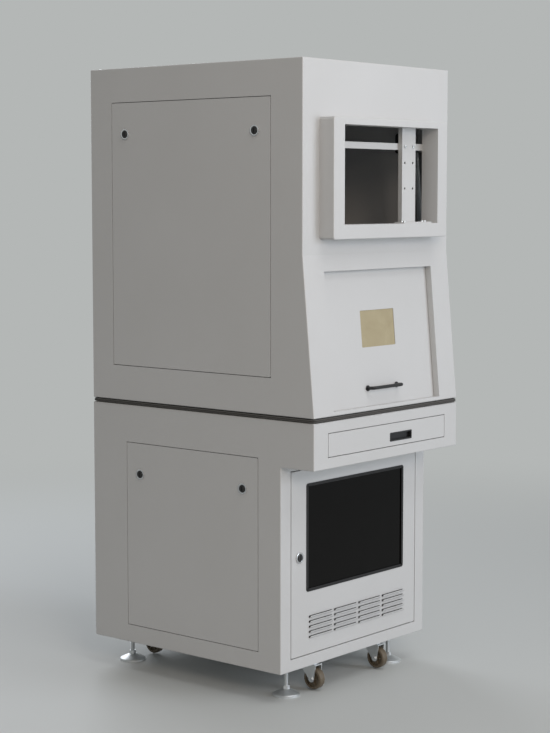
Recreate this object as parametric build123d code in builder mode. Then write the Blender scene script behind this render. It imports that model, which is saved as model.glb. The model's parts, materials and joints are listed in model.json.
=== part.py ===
from build123d import *
import math
import os

os.makedirs("parts", exist_ok=True)

# Enclosed laser marking machine, millimetres. X runs along the front, Y from the front to the back,
# Z up from the floor. The origin is on the floor, under the middle of the whole machine.
width = 700
base_depth = 750
underside_z = 90
nose_bottom_z = 688
base_top_z = 822
seam = 13
fold_z = 1287
total_height = 1830

# How far each forward plane stands in front of the base cabinet's front, and the rear fittings behind it
nose_reach = 120
fold_reach = 78
bezel_reach = 129
inlet_flange = 3
rocker_rise = 3

# Sheet steel and how it is folded
sheet = 2
bend = 3
panel_gap = 2
panel_flange = 16
stop_lip = 18
play = 0.3
running_fit = 0.08

half_width = width / 2
upper_bottom_z = base_top_z + seam
rear_reach = inlet_flange + rocker_rise
front_y = bezel_reach - (bezel_reach + base_depth + rear_reach) / 2
rear_y = front_y + base_depth
nose_y = front_y - nose_reach
fold_y = front_y - fold_reach
slope = math.atan2(nose_reach - fold_reach, fold_z - upper_bottom_z)
floor_z = upper_bottom_z + sheet
base_floor_z = underside_z + sheet

# Side and rear access panels, by their margins from the edges of the cabinets
upper_panel_front = 36
upper_panel_rear = 89
upper_panel_foot = 105
upper_panel_head = 101
lower_panel_front = 83
lower_panel_rear = 142
lower_panel_foot = 54
lower_panel_head = 113
rear_panel_margin = 70
rear_upper_foot = 65
rear_upper_head = 90
rear_lower_foot = 60
rear_lower_head = 62
rear_vent_drop = 115
rear_vent_pitch = (90, 16)
rear_vent_columns = 4
rear_vent_rows = 8
rear_vent_slot = (70, 6)
upper_panel_y = (upper_panel_front, base_depth - upper_panel_rear)
upper_panel_z = (upper_bottom_z + upper_panel_foot, total_height - upper_panel_head)
lower_panel_y = (lower_panel_front, base_depth - lower_panel_rear)
lower_panel_z = (underside_z + lower_panel_foot, base_top_z - lower_panel_head)
rear_panel_width = width - 2 * rear_panel_margin
rear_upper_z = (upper_bottom_z + rear_upper_foot, total_height - rear_upper_head)
rear_lower_z = (underside_z + rear_lower_foot, base_top_z - rear_lower_head)

# Quarter-turn locks
lock_inset = 58
lock_drop = 95
lock_head_radius = 11
lock_head_height = 4
lock_head_edge = 1
lock_shank_radius = 9
lock_collar_radius = 15
lock_collar_height = 1.5
cam_length = 60
cam_width = 16
cam_thickness = 3
cam_clear = 1
key_slot = (3, 13, 1.5)

# Lower door, hung on two pins at its right edge
door_margin = 45
door_foot = 35
door_head = 16
door_gap = 3
door_flange = 20
door_stop_depth = 25
pane_left = 75
pane_right = 70
pane_head = 48
pane_height = 308
pane_overlap = 12
pane_thickness = 4
lower_lock_inset = 39
lower_lock_rise = 292
hinge_pin_radius = 4
hinge_head_radius = 4.8
hinge_head_height = 4
hinge_pin_inset = 10
hinge_pin_depth = 7
hinge_pin_tail = 8
louvre_rows = 5
louvre_columns = 4
louvre_length = 108
louvre_pitch = (118, 15)
louvre_height = 6
louvre_sheet = 1.2
louvre_shift = 10
louvre_rise = 82
lower_door_x = (door_margin - half_width, half_width - door_margin)
lower_door_z = (underside_z + door_foot, nose_bottom_z - door_head)
pane_x = (lower_door_x[0] + pane_left, lower_door_x[1] - pane_right)
pane_z = (lower_door_z[1] - pane_head - pane_height, lower_door_z[1] - pane_head)
lower_lock_x = lower_door_x[0] + lower_lock_inset
lower_lock_z = lower_door_z[0] + lower_lock_rise
louvre_middle = (louvre_shift, lower_door_z[0] + louvre_rise)

# Keyboard drawer in the nose
drawer_margin = 64
drawer_edge = 32
drawer_depth = 430
drawer_wall = 1.5
drawer_side_height = 48
tray_margin = 18
tray_lift = 10
rail_length = 400
rail_height = 35
rail_thickness = 6
slide_thickness = 5
slide_margin = 6
pull_size = (104, 22)
pull_depth = 12
pull_lip = 2
pull_flange = 1
pull_shift = 60
pull_rise = 28
drawer_x = (drawer_margin - half_width, half_width - drawer_margin)
drawer_z = (nose_bottom_z + drawer_edge, base_top_z - drawer_edge)
pull_middle = (pull_shift, drawer_z[0] + pull_rise)

# Dark sealing strip in the seam, and the cable hole through both cabinets
strip_inset = 9
strip_width = 32
cable_hole_inset = 120
cable_hole_radius = 35

# Sloping chamber door, which slides up behind the front, measured up the slope
recess_margin = 91
recess_sill = 12
recess_head = 45
recess_depth = 19
slide_door_lap = 18
slide_door_top_lap = 20
slide_door_foot = 8
slide_door_flange = 14
slide_door_gap = 1
slide_door_play = 0.5
slide_door_travel = 325
guide_sheet = 2
window_size = (163, 107)
window_drop = 171
window_lap = 10
window_thickness = 5
handle_length = 150
handle_height = 64
handle_radius = 5
handle_bend = 10
handle_stand = 30
recess_width = width - 2 * recess_margin
recess_top = fold_z - upper_bottom_z - recess_head
window_middle = (0, recess_top - window_drop)

# Monitor housing on the upper front
bezel_margin = 75
bezel_foot = 43
bezel_head = 160
bezel_stile = 49
bezel_sill = 41
bezel_rail = 20
bezel_round = 8
niche_depth = 58
post_width = 67
post_inset = 53
post_depth = 14
post_foot = (140, 34, 4)
post_hole_radius = 3.5
post_hole_pitch = (40, 75)
crossbar_height = 19
crossbar_drop = 45
crossbar_depth = 18
crossbar_lap = 24
crossbar_pad = 18
bezel_x = (bezel_margin - half_width, half_width - bezel_margin)
bezel_z = (fold_z + bezel_foot, total_height - bezel_head)
niche_x = (bezel_x[0] + bezel_stile, bezel_x[1] - bezel_stile)
niche_z = (bezel_z[0] + bezel_sill, bezel_z[1] - bezel_rail)
post_x = (niche_x[1] - post_inset - post_width, niche_x[1] - post_inset)
crossbar_z = (niche_z[1] - crossbar_drop - crossbar_height, niche_z[1] - crossbar_drop)

# Levelling feet and swivel castors
foot_margin = 100
foot_y = 62
foot_pad_radius = 40
foot_pad_edge = 8
foot_pad_height = 20
foot_pad_round = 2
foot_neck_radius = 13
foot_neck_flare = 4
stem_radius = 6
stem_top_z = 134
stem_tip = 1
foot_nut_height = 10
foot_nut_across = 19
foot_boss_radius = 14
foot_boss_height = 14
castor_margin = 195
castor_y = 50
castor_lift = 4
castor_trail = 18
wheel_radius = 32
wheel_width = 24
wheel_rim = 8
wheel_round = 5
web_depth = 6
hub_radius = 10
axle_radius = 4
axle_nut_radius = 7
axle_nut_height = 4
fork_sheet = 3
fork_gap = 1.5
fork_overhang = 1
leg_front = 34
leg_rear = 28
castor_plate = (84, 64, 3)
castor_plate_round = 6
raceway_radius = 24
raceway_height = 7
kingpin_radius = 5
kingpin_head_radius = 9
kingpin_head_height = 3
kingpin_clear = 2
foot_x = half_width - foot_margin
castor_x = half_width - castor_margin

# Marking chamber: table, lift and laser head
table_size = (420, 300, 22)
table_front = 40
slot_pitch = 50
slot_count = 5
slot_width = 8
slot_depth = 12.5
slot_foot = (16, 5)
column_size = (120, 90)
column_y = 440
column_top_z = 1480
column_wall = 6
column_foot = (220, 170, 15)
column_bolt_inset = 18
column_bolt_pitch = (column_foot[0] - 2 * column_bolt_inset, column_foot[1] - 2 * column_bolt_inset)
column_bolt_radius = 5.5
lift_rail = (15, 12)
lift_rail_spacing = 76
lift_rail_margin = 20
bearing_block = (40, 24, 20)
bearing_block_margin = 4
carriage_size = (112, 150, 14)
carriage_z = 1180
bearing_length = 44
lift_screw_radius = 7
screw_offset = 12
screw_rise = 36
nut_size = (36, 30)
bearing_depth = 19
bearing_width = 34
bearing_clear = 3
handwheel_radius = 55
handwheel_rim = 7
handwheel_rise = 22
handwheel_spoke = (14, 8)
handwheel_hub = (14, 20)
handwheel_grip = (6, 32)
grip_seat = 2
arm_size = (96, 92)
arm_length = 155
arm_wall = 5
arm_round = (6, 3)
head_size = (118, 118, 100)
head_round = 8
head_chamfer = 3
lens_radius = 42
lens_height = 52
lens_rim = 8
lens_edge = 2
lens_dish = 6
lens_crown = 4
lens_step = 6
lens_thread = 8

# Electrics on the floor of the base cabinet
electrics_shift = 25
source_margin = 30
source_size = (260, 390, 110)
source_wall = 4
source_round = 5
source_chamfer = 2
fin_pitch = 14
fin_count = 15
fin_gap = 5
fin_depth = 12
fin_margin = 30
port_radius = 9
port_pitch = 60
port_count = 3
computer_margin = 35
computer_size = (180, 400, 380)
computer_round = 3
computer_vent_slot = (130, 5)
computer_vent_pitch = 12
computer_vent_rows = 12
computer_vent_drop = 60
computer_bay = (148, 42)
computer_bay_rise = 130
supply_gap = 5
supply_size = (110, 215, 50)
supply_slot = (80, 5, 2)
supply_slot_pitch = 14
supply_slot_rows = 12

# Exhaust fan and mains inlet in the rear
fan_drop = 230
fan_size = 120
fan_depth = 25
fan_round = 6
fan_bolt_pitch = 105
fan_bolt_radius = 2.2
fan_bore = 57
fan_hub = 20
fan_web = (8, 4)
fan_spindle = (5, 12)
fan_cap = 2
fan_blades = 7
blade_chord = 20
blade_thickness = 1.6
blade_clear = 3
blade_degrees = 38
fan_slot_pitch = 12
fan_slot_width = 7
fan_slots_each_way = 4
inlet_size = (50, 62)
inlet_margin = 150
inlet_rise = 90
inlet_lap = 5
inlet_round = 4
inlet_depth = 24
rocker_pocket = (24, 28)
rocker_frame = 3
rocker_pocket_depth = 12
rocker_up = 15
rocker_pin_radius = 2
rocker_degrees = 10
rocker_tip = (3.8, 11)
rocker_waist = 3.2
rocker_heel = (-7, 4)
socket_size = (27, 20)
socket_depth = 18
socket_drop = 15
pin_size = (2, 6, 12)
pin_offset = (7, 3)
fan_middle_z = total_height - fan_drop
inlet_middle = (half_width - inlet_margin, rear_lower_z[0] + inlet_rise)


def middle(span):
    return (span[0] + span[1]) / 2


def length(span):
    return span[1] - span[0]


def plane_at(x, y, z, along, outward):
    return Plane(origin=(x, y, z), x_dir=along, z_dir=outward)


def plane_on(face, across, up):
    """The same face, with its origin moved across and up within it."""
    return plane_at(*face.from_local_coords((across, up, 0)), face.x_dir, face.z_dir)


def side_face(side, y_span, z_span):
    y = front_y + middle(y_span)
    return plane_at(side * half_width, y, middle(z_span), (0, side, 0), (side, 0, 0))


def rear_face(z_span):
    return plane_at(0, rear_y, middle(z_span), (-1, 0, 0), (0, 1, 0))


def front_face(x, y, z):
    return plane_at(x, y, z, (1, 0, 0), (0, -1, 0))


# Outer face of the sloping front, from its bottom edge up
slope_face = plane_at(0, nose_y, upper_bottom_z, (1, 0, 0), (0, -math.cos(slope), math.sin(slope)))


def profile_shell(points):
    """Closed cabinet folded from sheet, from its outline seen from the side."""
    with BuildPart() as shell:
        with BuildSketch(Plane.YZ) as outline:
            with BuildLine():
                Polyline(*points, close=True)
            make_face()
        extrude(amount=half_width, both=True)
        fillet(shell.part.edges(), bend)
        with BuildSketch(Plane.YZ):
            add(offset(outline.sketch_local, -sheet, kind=Kind.INTERSECTION, mode=Mode.PRIVATE))
        extrude(amount=half_width - sheet, both=True, mode=Mode.SUBTRACT)
    return shell.part


def rebate(face, size, depth, lip):
    """Jamb and stop behind a flush opening, folded in from the edge of the opening."""
    with BuildPart() as jamb:
        with BuildSketch(face):
            Rectangle(size[0] + 2 * sheet, size[1] + 2 * sheet)
            Rectangle(*size, mode=Mode.SUBTRACT)
        extrude(amount=-depth)
        with BuildSketch(face.offset(-depth)):
            Rectangle(size[0] + 2 * sheet, size[1] + 2 * sheet)
            Rectangle(size[0] - 2 * lip, size[1] - 2 * lip, mode=Mode.SUBTRACT)
        extrude(amount=-sheet)
    return jamb.part


def opening(face, size, depth):
    """Straight cut through a wall, from its outer face inwards."""
    with BuildPart() as cut:
        with BuildSketch(face):
            Rectangle(*size)
        extrude(amount=-depth)
    return cut.part


def inside_gap(size):
    return (size[0] - 2 * panel_gap, size[1] - 2 * panel_gap)


def folded_panel(face, size, flange):
    """Flat skin with its four edges turned in."""
    with BuildPart() as panel:
        with BuildSketch(face):
            RectangleRounded(*size, bend)
        extrude(amount=-flange)
        with BuildSketch(face.offset(-sheet)):
            Rectangle(size[0] - 2 * sheet, size[1] - 2 * sheet)
        extrude(amount=-flange, mode=Mode.SUBTRACT)
    return panel.part


def lock_seat(face, spots):
    """Raised collars round the lock holes."""
    with BuildPart() as seat:
        with BuildSketch(face):
            with Locations(*spots):
                Circle(lock_collar_radius)
        extrude(amount=lock_collar_height)
    return seat.part


def lock_holes(face, spots):
    with BuildPart() as holes:
        with BuildSketch(face.offset(lock_collar_height)):
            with Locations(*spots):
                Circle(lock_shank_radius + running_fit)
        extrude(amount=-lock_collar_height - sheet)
    return holes.part


def quarter_turn_lock(face, spot, cam_depth):
    """Lock plug with its cam standing along the panel's edge, unlocked."""
    head = face.offset(lock_collar_height + play)
    with BuildPart() as lock:
        with BuildSketch(head):
            with Locations(spot):
                Circle(lock_head_radius)
        extrude(amount=lock_head_height - play)
        chamfer(lock.faces().sort_by(Axis((0, 0, 0), face.z_dir))[-1].edges(), lock_head_edge)
        with BuildSketch(head.offset(lock_head_height - play)):
            with Locations(spot):
                Rectangle(key_slot[0], key_slot[1])
        extrude(amount=-key_slot[2], mode=Mode.SUBTRACT)
        with BuildSketch(head):
            with Locations(spot):
                Circle(lock_shank_radius)
        extrude(amount=-lock_collar_height - play - cam_depth)
        with BuildSketch(face.offset(-cam_depth)):
            with Locations((spot[0], spot[1] - cam_length / 2 + cam_width / 2)):
                SlotOverall(cam_length, cam_width, rotation=90)
        extrude(amount=-cam_thickness)
    return lock.part


def save(part, name):
    part.label = name
    export_step(part, f"parts/{name}.step")


upper_panel_size = (length(upper_panel_y), length(upper_panel_z))
lower_panel_size = (length(lower_panel_y), length(lower_panel_z))
rear_upper_size = (rear_panel_width, length(rear_upper_z))
rear_lower_size = (rear_panel_width, length(rear_lower_z))
lower_door_size = (length(lower_door_x), length(lower_door_z))
lower_door_face = front_face(middle(lower_door_x), front_y, middle(lower_door_z))
drawer_face = front_face(middle(drawer_x), nose_y, middle(drawer_z))
drawer_size = (length(drawer_x), length(drawer_z))
hinge_x = lower_door_x[1] - door_gap - hinge_pin_inset
hinge_y = front_y + hinge_pin_depth
cable_hole_y = rear_y - cable_hole_inset
foot_spots = [(x, front_y + y) for x in (-foot_x, foot_x) for y in (foot_y, base_depth - foot_y)]
castor_spots = [(x, front_y + y) for x in (-castor_x, castor_x) for y in (castor_y, base_depth - castor_y)]
corners = ["front_left", "rear_left", "front_right", "rear_right"]

# Base cabinet: one welded shell with the nose, the rebated openings and the threaded foot bosses
base_outline = [
    (front_y, underside_z),
    (rear_y, underside_z),
    (rear_y, base_top_z),
    (nose_y, base_top_z),
    (nose_y, nose_bottom_z),
    (front_y, nose_bottom_z),
]
with BuildPart() as base_cabinet:
    add(profile_shell(base_outline))
    for side in (-1, 1):
        panel_face = side_face(side, lower_panel_y, lower_panel_z)
        add(opening(panel_face, lower_panel_size, 2 * sheet), mode=Mode.SUBTRACT)
        add(rebate(panel_face, lower_panel_size, panel_flange, stop_lip))
    add(opening(rear_face(rear_lower_z), rear_lower_size, 2 * sheet), mode=Mode.SUBTRACT)
    add(rebate(rear_face(rear_lower_z), rear_lower_size, panel_flange, stop_lip))
    add(opening(lower_door_face, lower_door_size, 2 * sheet), mode=Mode.SUBTRACT)
    with BuildSketch(lower_door_face):
        Rectangle(lower_door_size[0] + 2 * sheet, lower_door_size[1] + 2 * sheet)
        Rectangle(*lower_door_size, mode=Mode.SUBTRACT)
    extrude(amount=-door_stop_depth)
    with BuildSketch(lower_door_face.offset(-door_stop_depth)):
        Rectangle(lower_door_size[0] + 2 * sheet, lower_door_size[1] + 2 * sheet)
        with Locations((stop_lip / 2, 0)):
            Rectangle(lower_door_size[0] - stop_lip, lower_door_size[1] - 2 * stop_lip, mode=Mode.SUBTRACT)
    extrude(amount=-sheet)
    add(opening(drawer_face, drawer_size, 2 * sheet), mode=Mode.SUBTRACT)
    with BuildSketch(Plane.XY.offset(base_floor_z)):
        with Locations(*foot_spots):
            Circle(foot_boss_radius)
    extrude(amount=foot_boss_height)
    with BuildSketch(Plane.XY.offset(underside_z)):
        with Locations(*foot_spots):
            Circle(stem_radius + running_fit)
        with Locations(*castor_spots):
            Circle(kingpin_radius + kingpin_clear)
    extrude(amount=sheet + foot_boss_height, mode=Mode.SUBTRACT)
    with BuildSketch(Plane.XY.offset(base_top_z - sheet)):
        with Locations((0, cable_hole_y)):
            Circle(cable_hole_radius)
    extrude(amount=sheet, mode=Mode.SUBTRACT)
    with BuildSketch(Plane.XY.offset(lower_door_z[0] - sheet)):
        with Locations((hinge_x, hinge_y)):
            Circle(hinge_pin_radius)
    extrude(amount=lower_door_size[1] + 2 * sheet, mode=Mode.SUBTRACT)
save(base_cabinet.part, "base_cabinet")

# Dark sealing strip that closes the seam between the two cabinets
strip_middle_y = (nose_y + rear_y) / 2
strip_size = (width - 2 * strip_inset, rear_y - nose_y - 2 * strip_inset)
with BuildPart() as seam_strip:
    with BuildSketch(Plane.XY.offset(base_top_z)):
        with Locations((0, strip_middle_y)):
            RectangleRounded(*strip_size, bend)
            Rectangle(strip_size[0] - 2 * strip_width, strip_size[1] - 2 * strip_width, mode=Mode.SUBTRACT)
    extrude(amount=seam)
save(seam_strip.part, "seam_strip")

# Upper cabinet: one welded shell with the sloping door recess and the monitor cut-out
upper_outline = [
    (nose_y, upper_bottom_z),
    (rear_y, upper_bottom_z),
    (rear_y, total_height),
    (fold_y, total_height),
    (fold_y, fold_z),
]
recess_size = (recess_width, recess_top - recess_sill)
recess_face = plane_on(slope_face, 0, middle((recess_sill, recess_top)))
niche_face = front_face(middle(niche_x), front_y - bezel_reach, middle(niche_z))
niche_size = (length(niche_x), length(niche_z))
with BuildPart() as upper_cabinet:
    add(profile_shell(upper_outline))
    for side in (-1, 1):
        panel_face = side_face(side, upper_panel_y, upper_panel_z)
        add(opening(panel_face, upper_panel_size, 2 * sheet), mode=Mode.SUBTRACT)
        add(rebate(panel_face, upper_panel_size, panel_flange, stop_lip))
    add(opening(rear_face(rear_upper_z), rear_upper_size, 2 * sheet), mode=Mode.SUBTRACT)
    add(rebate(rear_face(rear_upper_z), rear_upper_size, panel_flange, stop_lip))
    add(opening(recess_face, recess_size, 2 * sheet), mode=Mode.SUBTRACT)
    with BuildSketch(recess_face):
        Rectangle(recess_size[0] + 2 * sheet, recess_size[1] + 2 * sheet)
        Rectangle(*recess_size, mode=Mode.SUBTRACT)
    extrude(amount=-recess_depth)
    with BuildSketch(niche_face.offset(fold_reach - bezel_reach)):
        Rectangle(niche_size[0] + 2 * sheet, niche_size[1] + 2 * sheet)
    extrude(amount=-2 * sheet, mode=Mode.SUBTRACT)
    with BuildSketch(Plane.XY.offset(upper_bottom_z)):
        with Locations((0, cable_hole_y)):
            Circle(cable_hole_radius)
    extrude(amount=sheet, mode=Mode.SUBTRACT)
save(upper_cabinet.part, "upper_cabinet")

# Monitor housing: a folded frame whose inner sleeve passes through the cabinet's front
bezel_face = front_face(middle(bezel_x), front_y - bezel_reach, middle(bezel_z))
bezel_size = (length(bezel_x), length(bezel_z))
bezel_thickness = bezel_reach - fold_reach
with BuildPart() as monitor_bezel:
    with BuildSketch(bezel_face):
        RectangleRounded(*bezel_size, bezel_round)
    extrude(amount=-bezel_thickness)
    fillet(monitor_bezel.faces().sort_by(Axis.Y)[0].edges(), bend)
    with BuildSketch(bezel_face.offset(-sheet)):
        Rectangle(bezel_size[0] - 2 * sheet, bezel_size[1] - 2 * sheet)
        with Locations((0, middle(niche_z) - middle(bezel_z))):
            Rectangle(niche_size[0] + 2 * sheet, niche_size[1] + 2 * sheet, mode=Mode.SUBTRACT)
    extrude(amount=-bezel_thickness, mode=Mode.SUBTRACT)
    with BuildSketch(niche_face.offset(-bezel_thickness)):
        Rectangle(niche_size[0] + 2 * sheet, niche_size[1] + 2 * sheet)
    extrude(amount=-(niche_depth - bezel_thickness))
    with BuildSketch(niche_face):
        Rectangle(*niche_size)
    extrude(amount=-niche_depth, mode=Mode.SUBTRACT)
save(monitor_bezel.part, "monitor_bezel")

# Mounting post for the monitor: a channel standing on the sleeve, with a foot in front
niche_back_y = front_y - bezel_reach + niche_depth
with BuildPart() as monitor_post:
    with BuildSketch(Plane.XY.offset(niche_z[0])):
        with Locations((middle(post_x), niche_back_y - post_depth / 2)):
            Rectangle(length(post_x), post_depth)
        with Locations((middle(post_x), niche_back_y - post_depth / 2 + sheet)):
            Rectangle(length(post_x) - 2 * sheet, post_depth, mode=Mode.SUBTRACT)
    extrude(amount=length(niche_z))
    with BuildSketch(Plane.XY.offset(niche_z[0])):
        with Locations((middle(post_x), niche_back_y - post_depth - post_foot[1] / 2)):
            Rectangle(post_foot[0], post_foot[1])
    extrude(amount=post_foot[2])
    with BuildSketch(front_face(middle(post_x), niche_back_y - post_depth, middle(niche_z))):
        with GridLocations(*post_hole_pitch, 2, 2):
            Circle(post_hole_radius)
    extrude(amount=-sheet, mode=Mode.SUBTRACT)
save(monitor_post.part, "monitor_post")

# Crossbar behind the post, held on the back of the cabinet's front by a pad at each end
crossbar_length = length(niche_x) + 2 * crossbar_lap
pad_depth = niche_back_y - fold_y - sheet
with BuildPart() as monitor_crossbar:
    with BuildSketch(Plane.XY.offset(crossbar_z[0])):
        with Locations((0, niche_back_y + crossbar_depth / 2)):
            Rectangle(crossbar_length, crossbar_depth)
        for side in (-1, 1):
            with Locations((side * (crossbar_length - crossbar_pad) / 2, fold_y + sheet + pad_depth / 2)):
                Rectangle(crossbar_pad, pad_depth)
    extrude(amount=length(crossbar_z))
    with BuildSketch(Plane.YZ):
        with Locations((niche_back_y + crossbar_depth / 2 + sheet, middle(crossbar_z) - sheet)):
            Rectangle(crossbar_depth, length(crossbar_z))
    extrude(amount=crossbar_length / 2, both=True, mode=Mode.SUBTRACT)
save(monitor_crossbar.part, "monitor_crossbar")

# Chamber door: a folded tray behind the recess, in two channels that follow the slope
slide_door_width = recess_width + 2 * slide_door_lap
slide_door_top = recess_top + slide_door_top_lap
slide_door_size = (slide_door_width, slide_door_top - slide_door_foot)
slide_door_depth = recess_depth + slide_door_gap
slide_door_face = slope_face.offset(-slide_door_depth)
slide_door_middle = middle((slide_door_foot, slide_door_top))
with BuildPart() as chamber_door:
    with BuildSketch(slide_door_face):
        with Locations((0, slide_door_middle)):
            Rectangle(*slide_door_size)
    extrude(amount=-slide_door_flange)
    with BuildSketch(slide_door_face.offset(-sheet)):
        with Locations((0, slide_door_middle)):
            Rectangle(slide_door_size[0] - 2 * sheet, slide_door_size[1] - 2 * sheet)
    extrude(amount=-slide_door_flange, mode=Mode.SUBTRACT)
    with BuildSketch(slide_door_face):
        with Locations(window_middle):
            RectangleRounded(*window_size, bend)
    extrude(amount=-sheet, mode=Mode.SUBTRACT)
save(chamber_door.part, "chamber_door")

with BuildPart() as chamber_window:
    with BuildSketch(slide_door_face.offset(-sheet)):
        with Locations(window_middle):
            RectangleRounded(window_size[0] + 2 * window_lap, window_size[1] + 2 * window_lap, bend)
    extrude(amount=-window_thickness)
save(chamber_window.part, "chamber_window")

# Bow handle bent from round bar, standing on the door
handle_half = handle_length / 2 - handle_radius
handle_reach = handle_stand - handle_radius
handle_origin = plane_on(slide_door_face, 0, handle_height).origin
handle_top = Plane(origin=handle_origin, x_dir=(1, 0, 0), z_dir=-slope_face.y_dir)
with BuildPart() as door_handle:
    with BuildLine(handle_top) as handle_path:
        FilletPolyline(
            (-handle_half, 0),
            (-handle_half, handle_reach),
            (handle_half, handle_reach),
            (handle_half, 0),
            radius=handle_bend,
        )
    with BuildSketch(Plane(origin=handle_path.line @ 0, z_dir=handle_path.line % 0)):
        Circle(handle_radius)
    sweep()
save(door_handle.part, "door_handle")

# Guide channels on both sides of the door, with a stop at the foot
guide_inner = slide_door_width / 2 + slide_door_play
guide_front = slide_door_depth - slide_door_play
guide_back = slide_door_depth + slide_door_flange + slide_door_play
guide_rise = (guide_back + guide_sheet) * math.sin(slope)
guide_foot = (sheet + play + guide_rise) / math.cos(slope)
guide_length = slide_door_top + slide_door_travel - guide_foot
guide_lap = guide_inner - recess_width / 2 - sheet
with BuildPart() as door_guides:
    for side in (-1, 1):
        guide_plane = Plane(
            origin=slope_face.from_local_coords((side * guide_inner, guide_foot, 0)),
            x_dir=(side, 0, 0),
            z_dir=slope_face.y_dir,
        )
        depth_sign = guide_plane.y_dir.dot(slope_face.z_dir)
        with BuildSketch(guide_plane):
            with Locations(((guide_sheet - guide_lap) / 2, -depth_sign * middle((guide_front, guide_back)))):
                Rectangle(guide_lap + guide_sheet, guide_back - guide_front + 2 * guide_sheet)
            with Locations((-guide_lap / 2, -depth_sign * middle((guide_front, guide_back)))):
                Rectangle(guide_lap, guide_back - guide_front, mode=Mode.SUBTRACT)
        extrude(amount=guide_length)
        with BuildSketch(guide_plane):
            with Locations((-guide_lap / 2, -depth_sign * middle((guide_front, guide_back)))):
                Rectangle(guide_lap, guide_back - guide_front)
        extrude(amount=slide_door_foot - guide_foot - play)
save(door_guides.part, "door_guides")

# Lower door with its window cut-out, louvres and lock collar
door_panel_size = (lower_door_size[0] - 2 * door_gap, lower_door_size[1] - 2 * door_gap)
lower_lock_spot = (lower_lock_x - middle(lower_door_x), lower_lock_z - middle(lower_door_z))
pane_spot = (middle(pane_x) - middle(lower_door_x), middle(pane_z) - middle(lower_door_z))
louvre_spot = (louvre_middle[0] - middle(lower_door_x), louvre_middle[1] - middle(lower_door_z))
louvre_face = plane_on(lower_door_face, *louvre_spot)


def louvre_hood():
    """Quarter-round hood pressed out over a slot, seen in section and drawn along the slot."""
    section = Plane(origin=(0, front_y, louvre_middle[1]), x_dir=(0, -1, 0), z_dir=(1, 0, 0))
    with BuildPart() as hood:
        with BuildSketch(section):
            with Locations((0, -louvre_height / 2)):
                Circle(louvre_height + louvre_sheet)
                Circle(louvre_height, mode=Mode.SUBTRACT)
                Rectangle(2 * louvre_height, 2 * louvre_height, align=Align.MIN, mode=Mode.INTERSECT)
        extrude(amount=louvre_length / 2, both=True)
    return hood.part


with BuildPart() as lower_door:
    add(folded_panel(lower_door_face, door_panel_size, door_flange))
    add(lock_seat(lower_door_face, [lower_lock_spot]))
    add(lock_holes(lower_door_face, [lower_lock_spot]), mode=Mode.SUBTRACT)
    with BuildSketch(lower_door_face):
        with Locations(pane_spot):
            RectangleRounded(length(pane_x), length(pane_z), bend)
    extrude(amount=-sheet, mode=Mode.SUBTRACT)
    with BuildSketch(louvre_face):
        with GridLocations(*louvre_pitch, louvre_columns, louvre_rows):
            Rectangle(louvre_length, louvre_height)
    extrude(amount=-sheet, mode=Mode.SUBTRACT)
    hood = louvre_hood()
    for spot in GridLocations(*louvre_pitch, louvre_columns, louvre_rows):
        across, up = spot.position.X, spot.position.Y
        add(Pos(louvre_middle[0] + across, 0, up) * hood)
    with BuildSketch(Plane.XY.offset(lower_door_z[0])):
        with Locations((hinge_x, hinge_y)):
            Circle(hinge_pin_radius + running_fit)
    extrude(amount=lower_door_size[1], mode=Mode.SUBTRACT)
save(lower_door.part, "lower_door")

with BuildPart() as door_pane:
    with BuildSketch(plane_on(lower_door_face.offset(-sheet), *pane_spot)):
        RectangleRounded(length(pane_x) + 2 * pane_overlap, length(pane_z) + 2 * pane_overlap, bend)
    extrude(amount=-pane_thickness)
save(door_pane.part, "door_pane")

# Two headed hinge pins, pressed through the jamb above and below the door
with BuildPart() as door_hinge_pins:
    for end, up in ((lower_door_z[0] - sheet, 1), (lower_door_z[1] + sheet, -1)):
        shank = sheet + door_gap + sheet + hinge_pin_tail
        with BuildSketch(Plane.XY.offset(end)):
            with Locations((hinge_x, hinge_y)):
                Circle(hinge_pin_radius)
        extrude(amount=up * shank)
        with BuildSketch(Plane.XY.offset(end)):
            with Locations((hinge_x, hinge_y)):
                Circle(hinge_head_radius)
        extrude(amount=-up * hinge_head_height)
save(door_hinge_pins.part, "door_hinge_pins")
lower_cam_depth = door_stop_depth + sheet + cam_clear
save(quarter_turn_lock(lower_door_face, lower_lock_spot, lower_cam_depth), "lower_door_lock")

# Lift-off access panels and their locks
panel_spans = {"upper": (upper_panel_y, upper_panel_z), "lower": (lower_panel_y, lower_panel_z)}
for side, side_name in ((-1, "left"), (1, "right")):
    for level, (y_span, z_span) in panel_spans.items():
        face = side_face(side, y_span, z_span)
        size = inside_gap((length(y_span), length(z_span)))
        across = length(y_span) / 2 - lock_inset
        up = length(z_span) / 2 - lock_drop
        spots = [(-side * across, up), (side * across, up)]
        with BuildPart() as access_panel:
            add(folded_panel(face, size, panel_flange))
            add(lock_seat(face, spots))
            add(lock_holes(face, spots), mode=Mode.SUBTRACT)
        save(access_panel.part, f"{side_name}_{level}_panel")
        for spot, end_name in zip(spots, ("front", "rear")):
            lock = quarter_turn_lock(face, spot, panel_flange + sheet + cam_clear)
            save(lock, f"lock_{side_name}_{level}_{end_name}")

# Rear panels: the upper one is slotted over the fan, the lower one is vented and carries the mains inlet
fan_spot = (0, fan_middle_z - middle(rear_upper_z))
with BuildPart() as rear_upper_panel:
    face = rear_face(rear_upper_z)
    add(folded_panel(face, inside_gap(rear_upper_size), panel_flange))
    with BuildSketch(plane_on(face, *fan_spot)):
        for row in range(-fan_slots_each_way, fan_slots_each_way + 1):
            half_chord = math.sqrt(fan_bore**2 - (row * fan_slot_pitch) ** 2)
            with Locations((0, row * fan_slot_pitch)):
                SlotOverall(2 * half_chord, fan_slot_width)
    extrude(amount=-sheet, mode=Mode.SUBTRACT)
save(rear_upper_panel.part, "rear_upper_panel")

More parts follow.
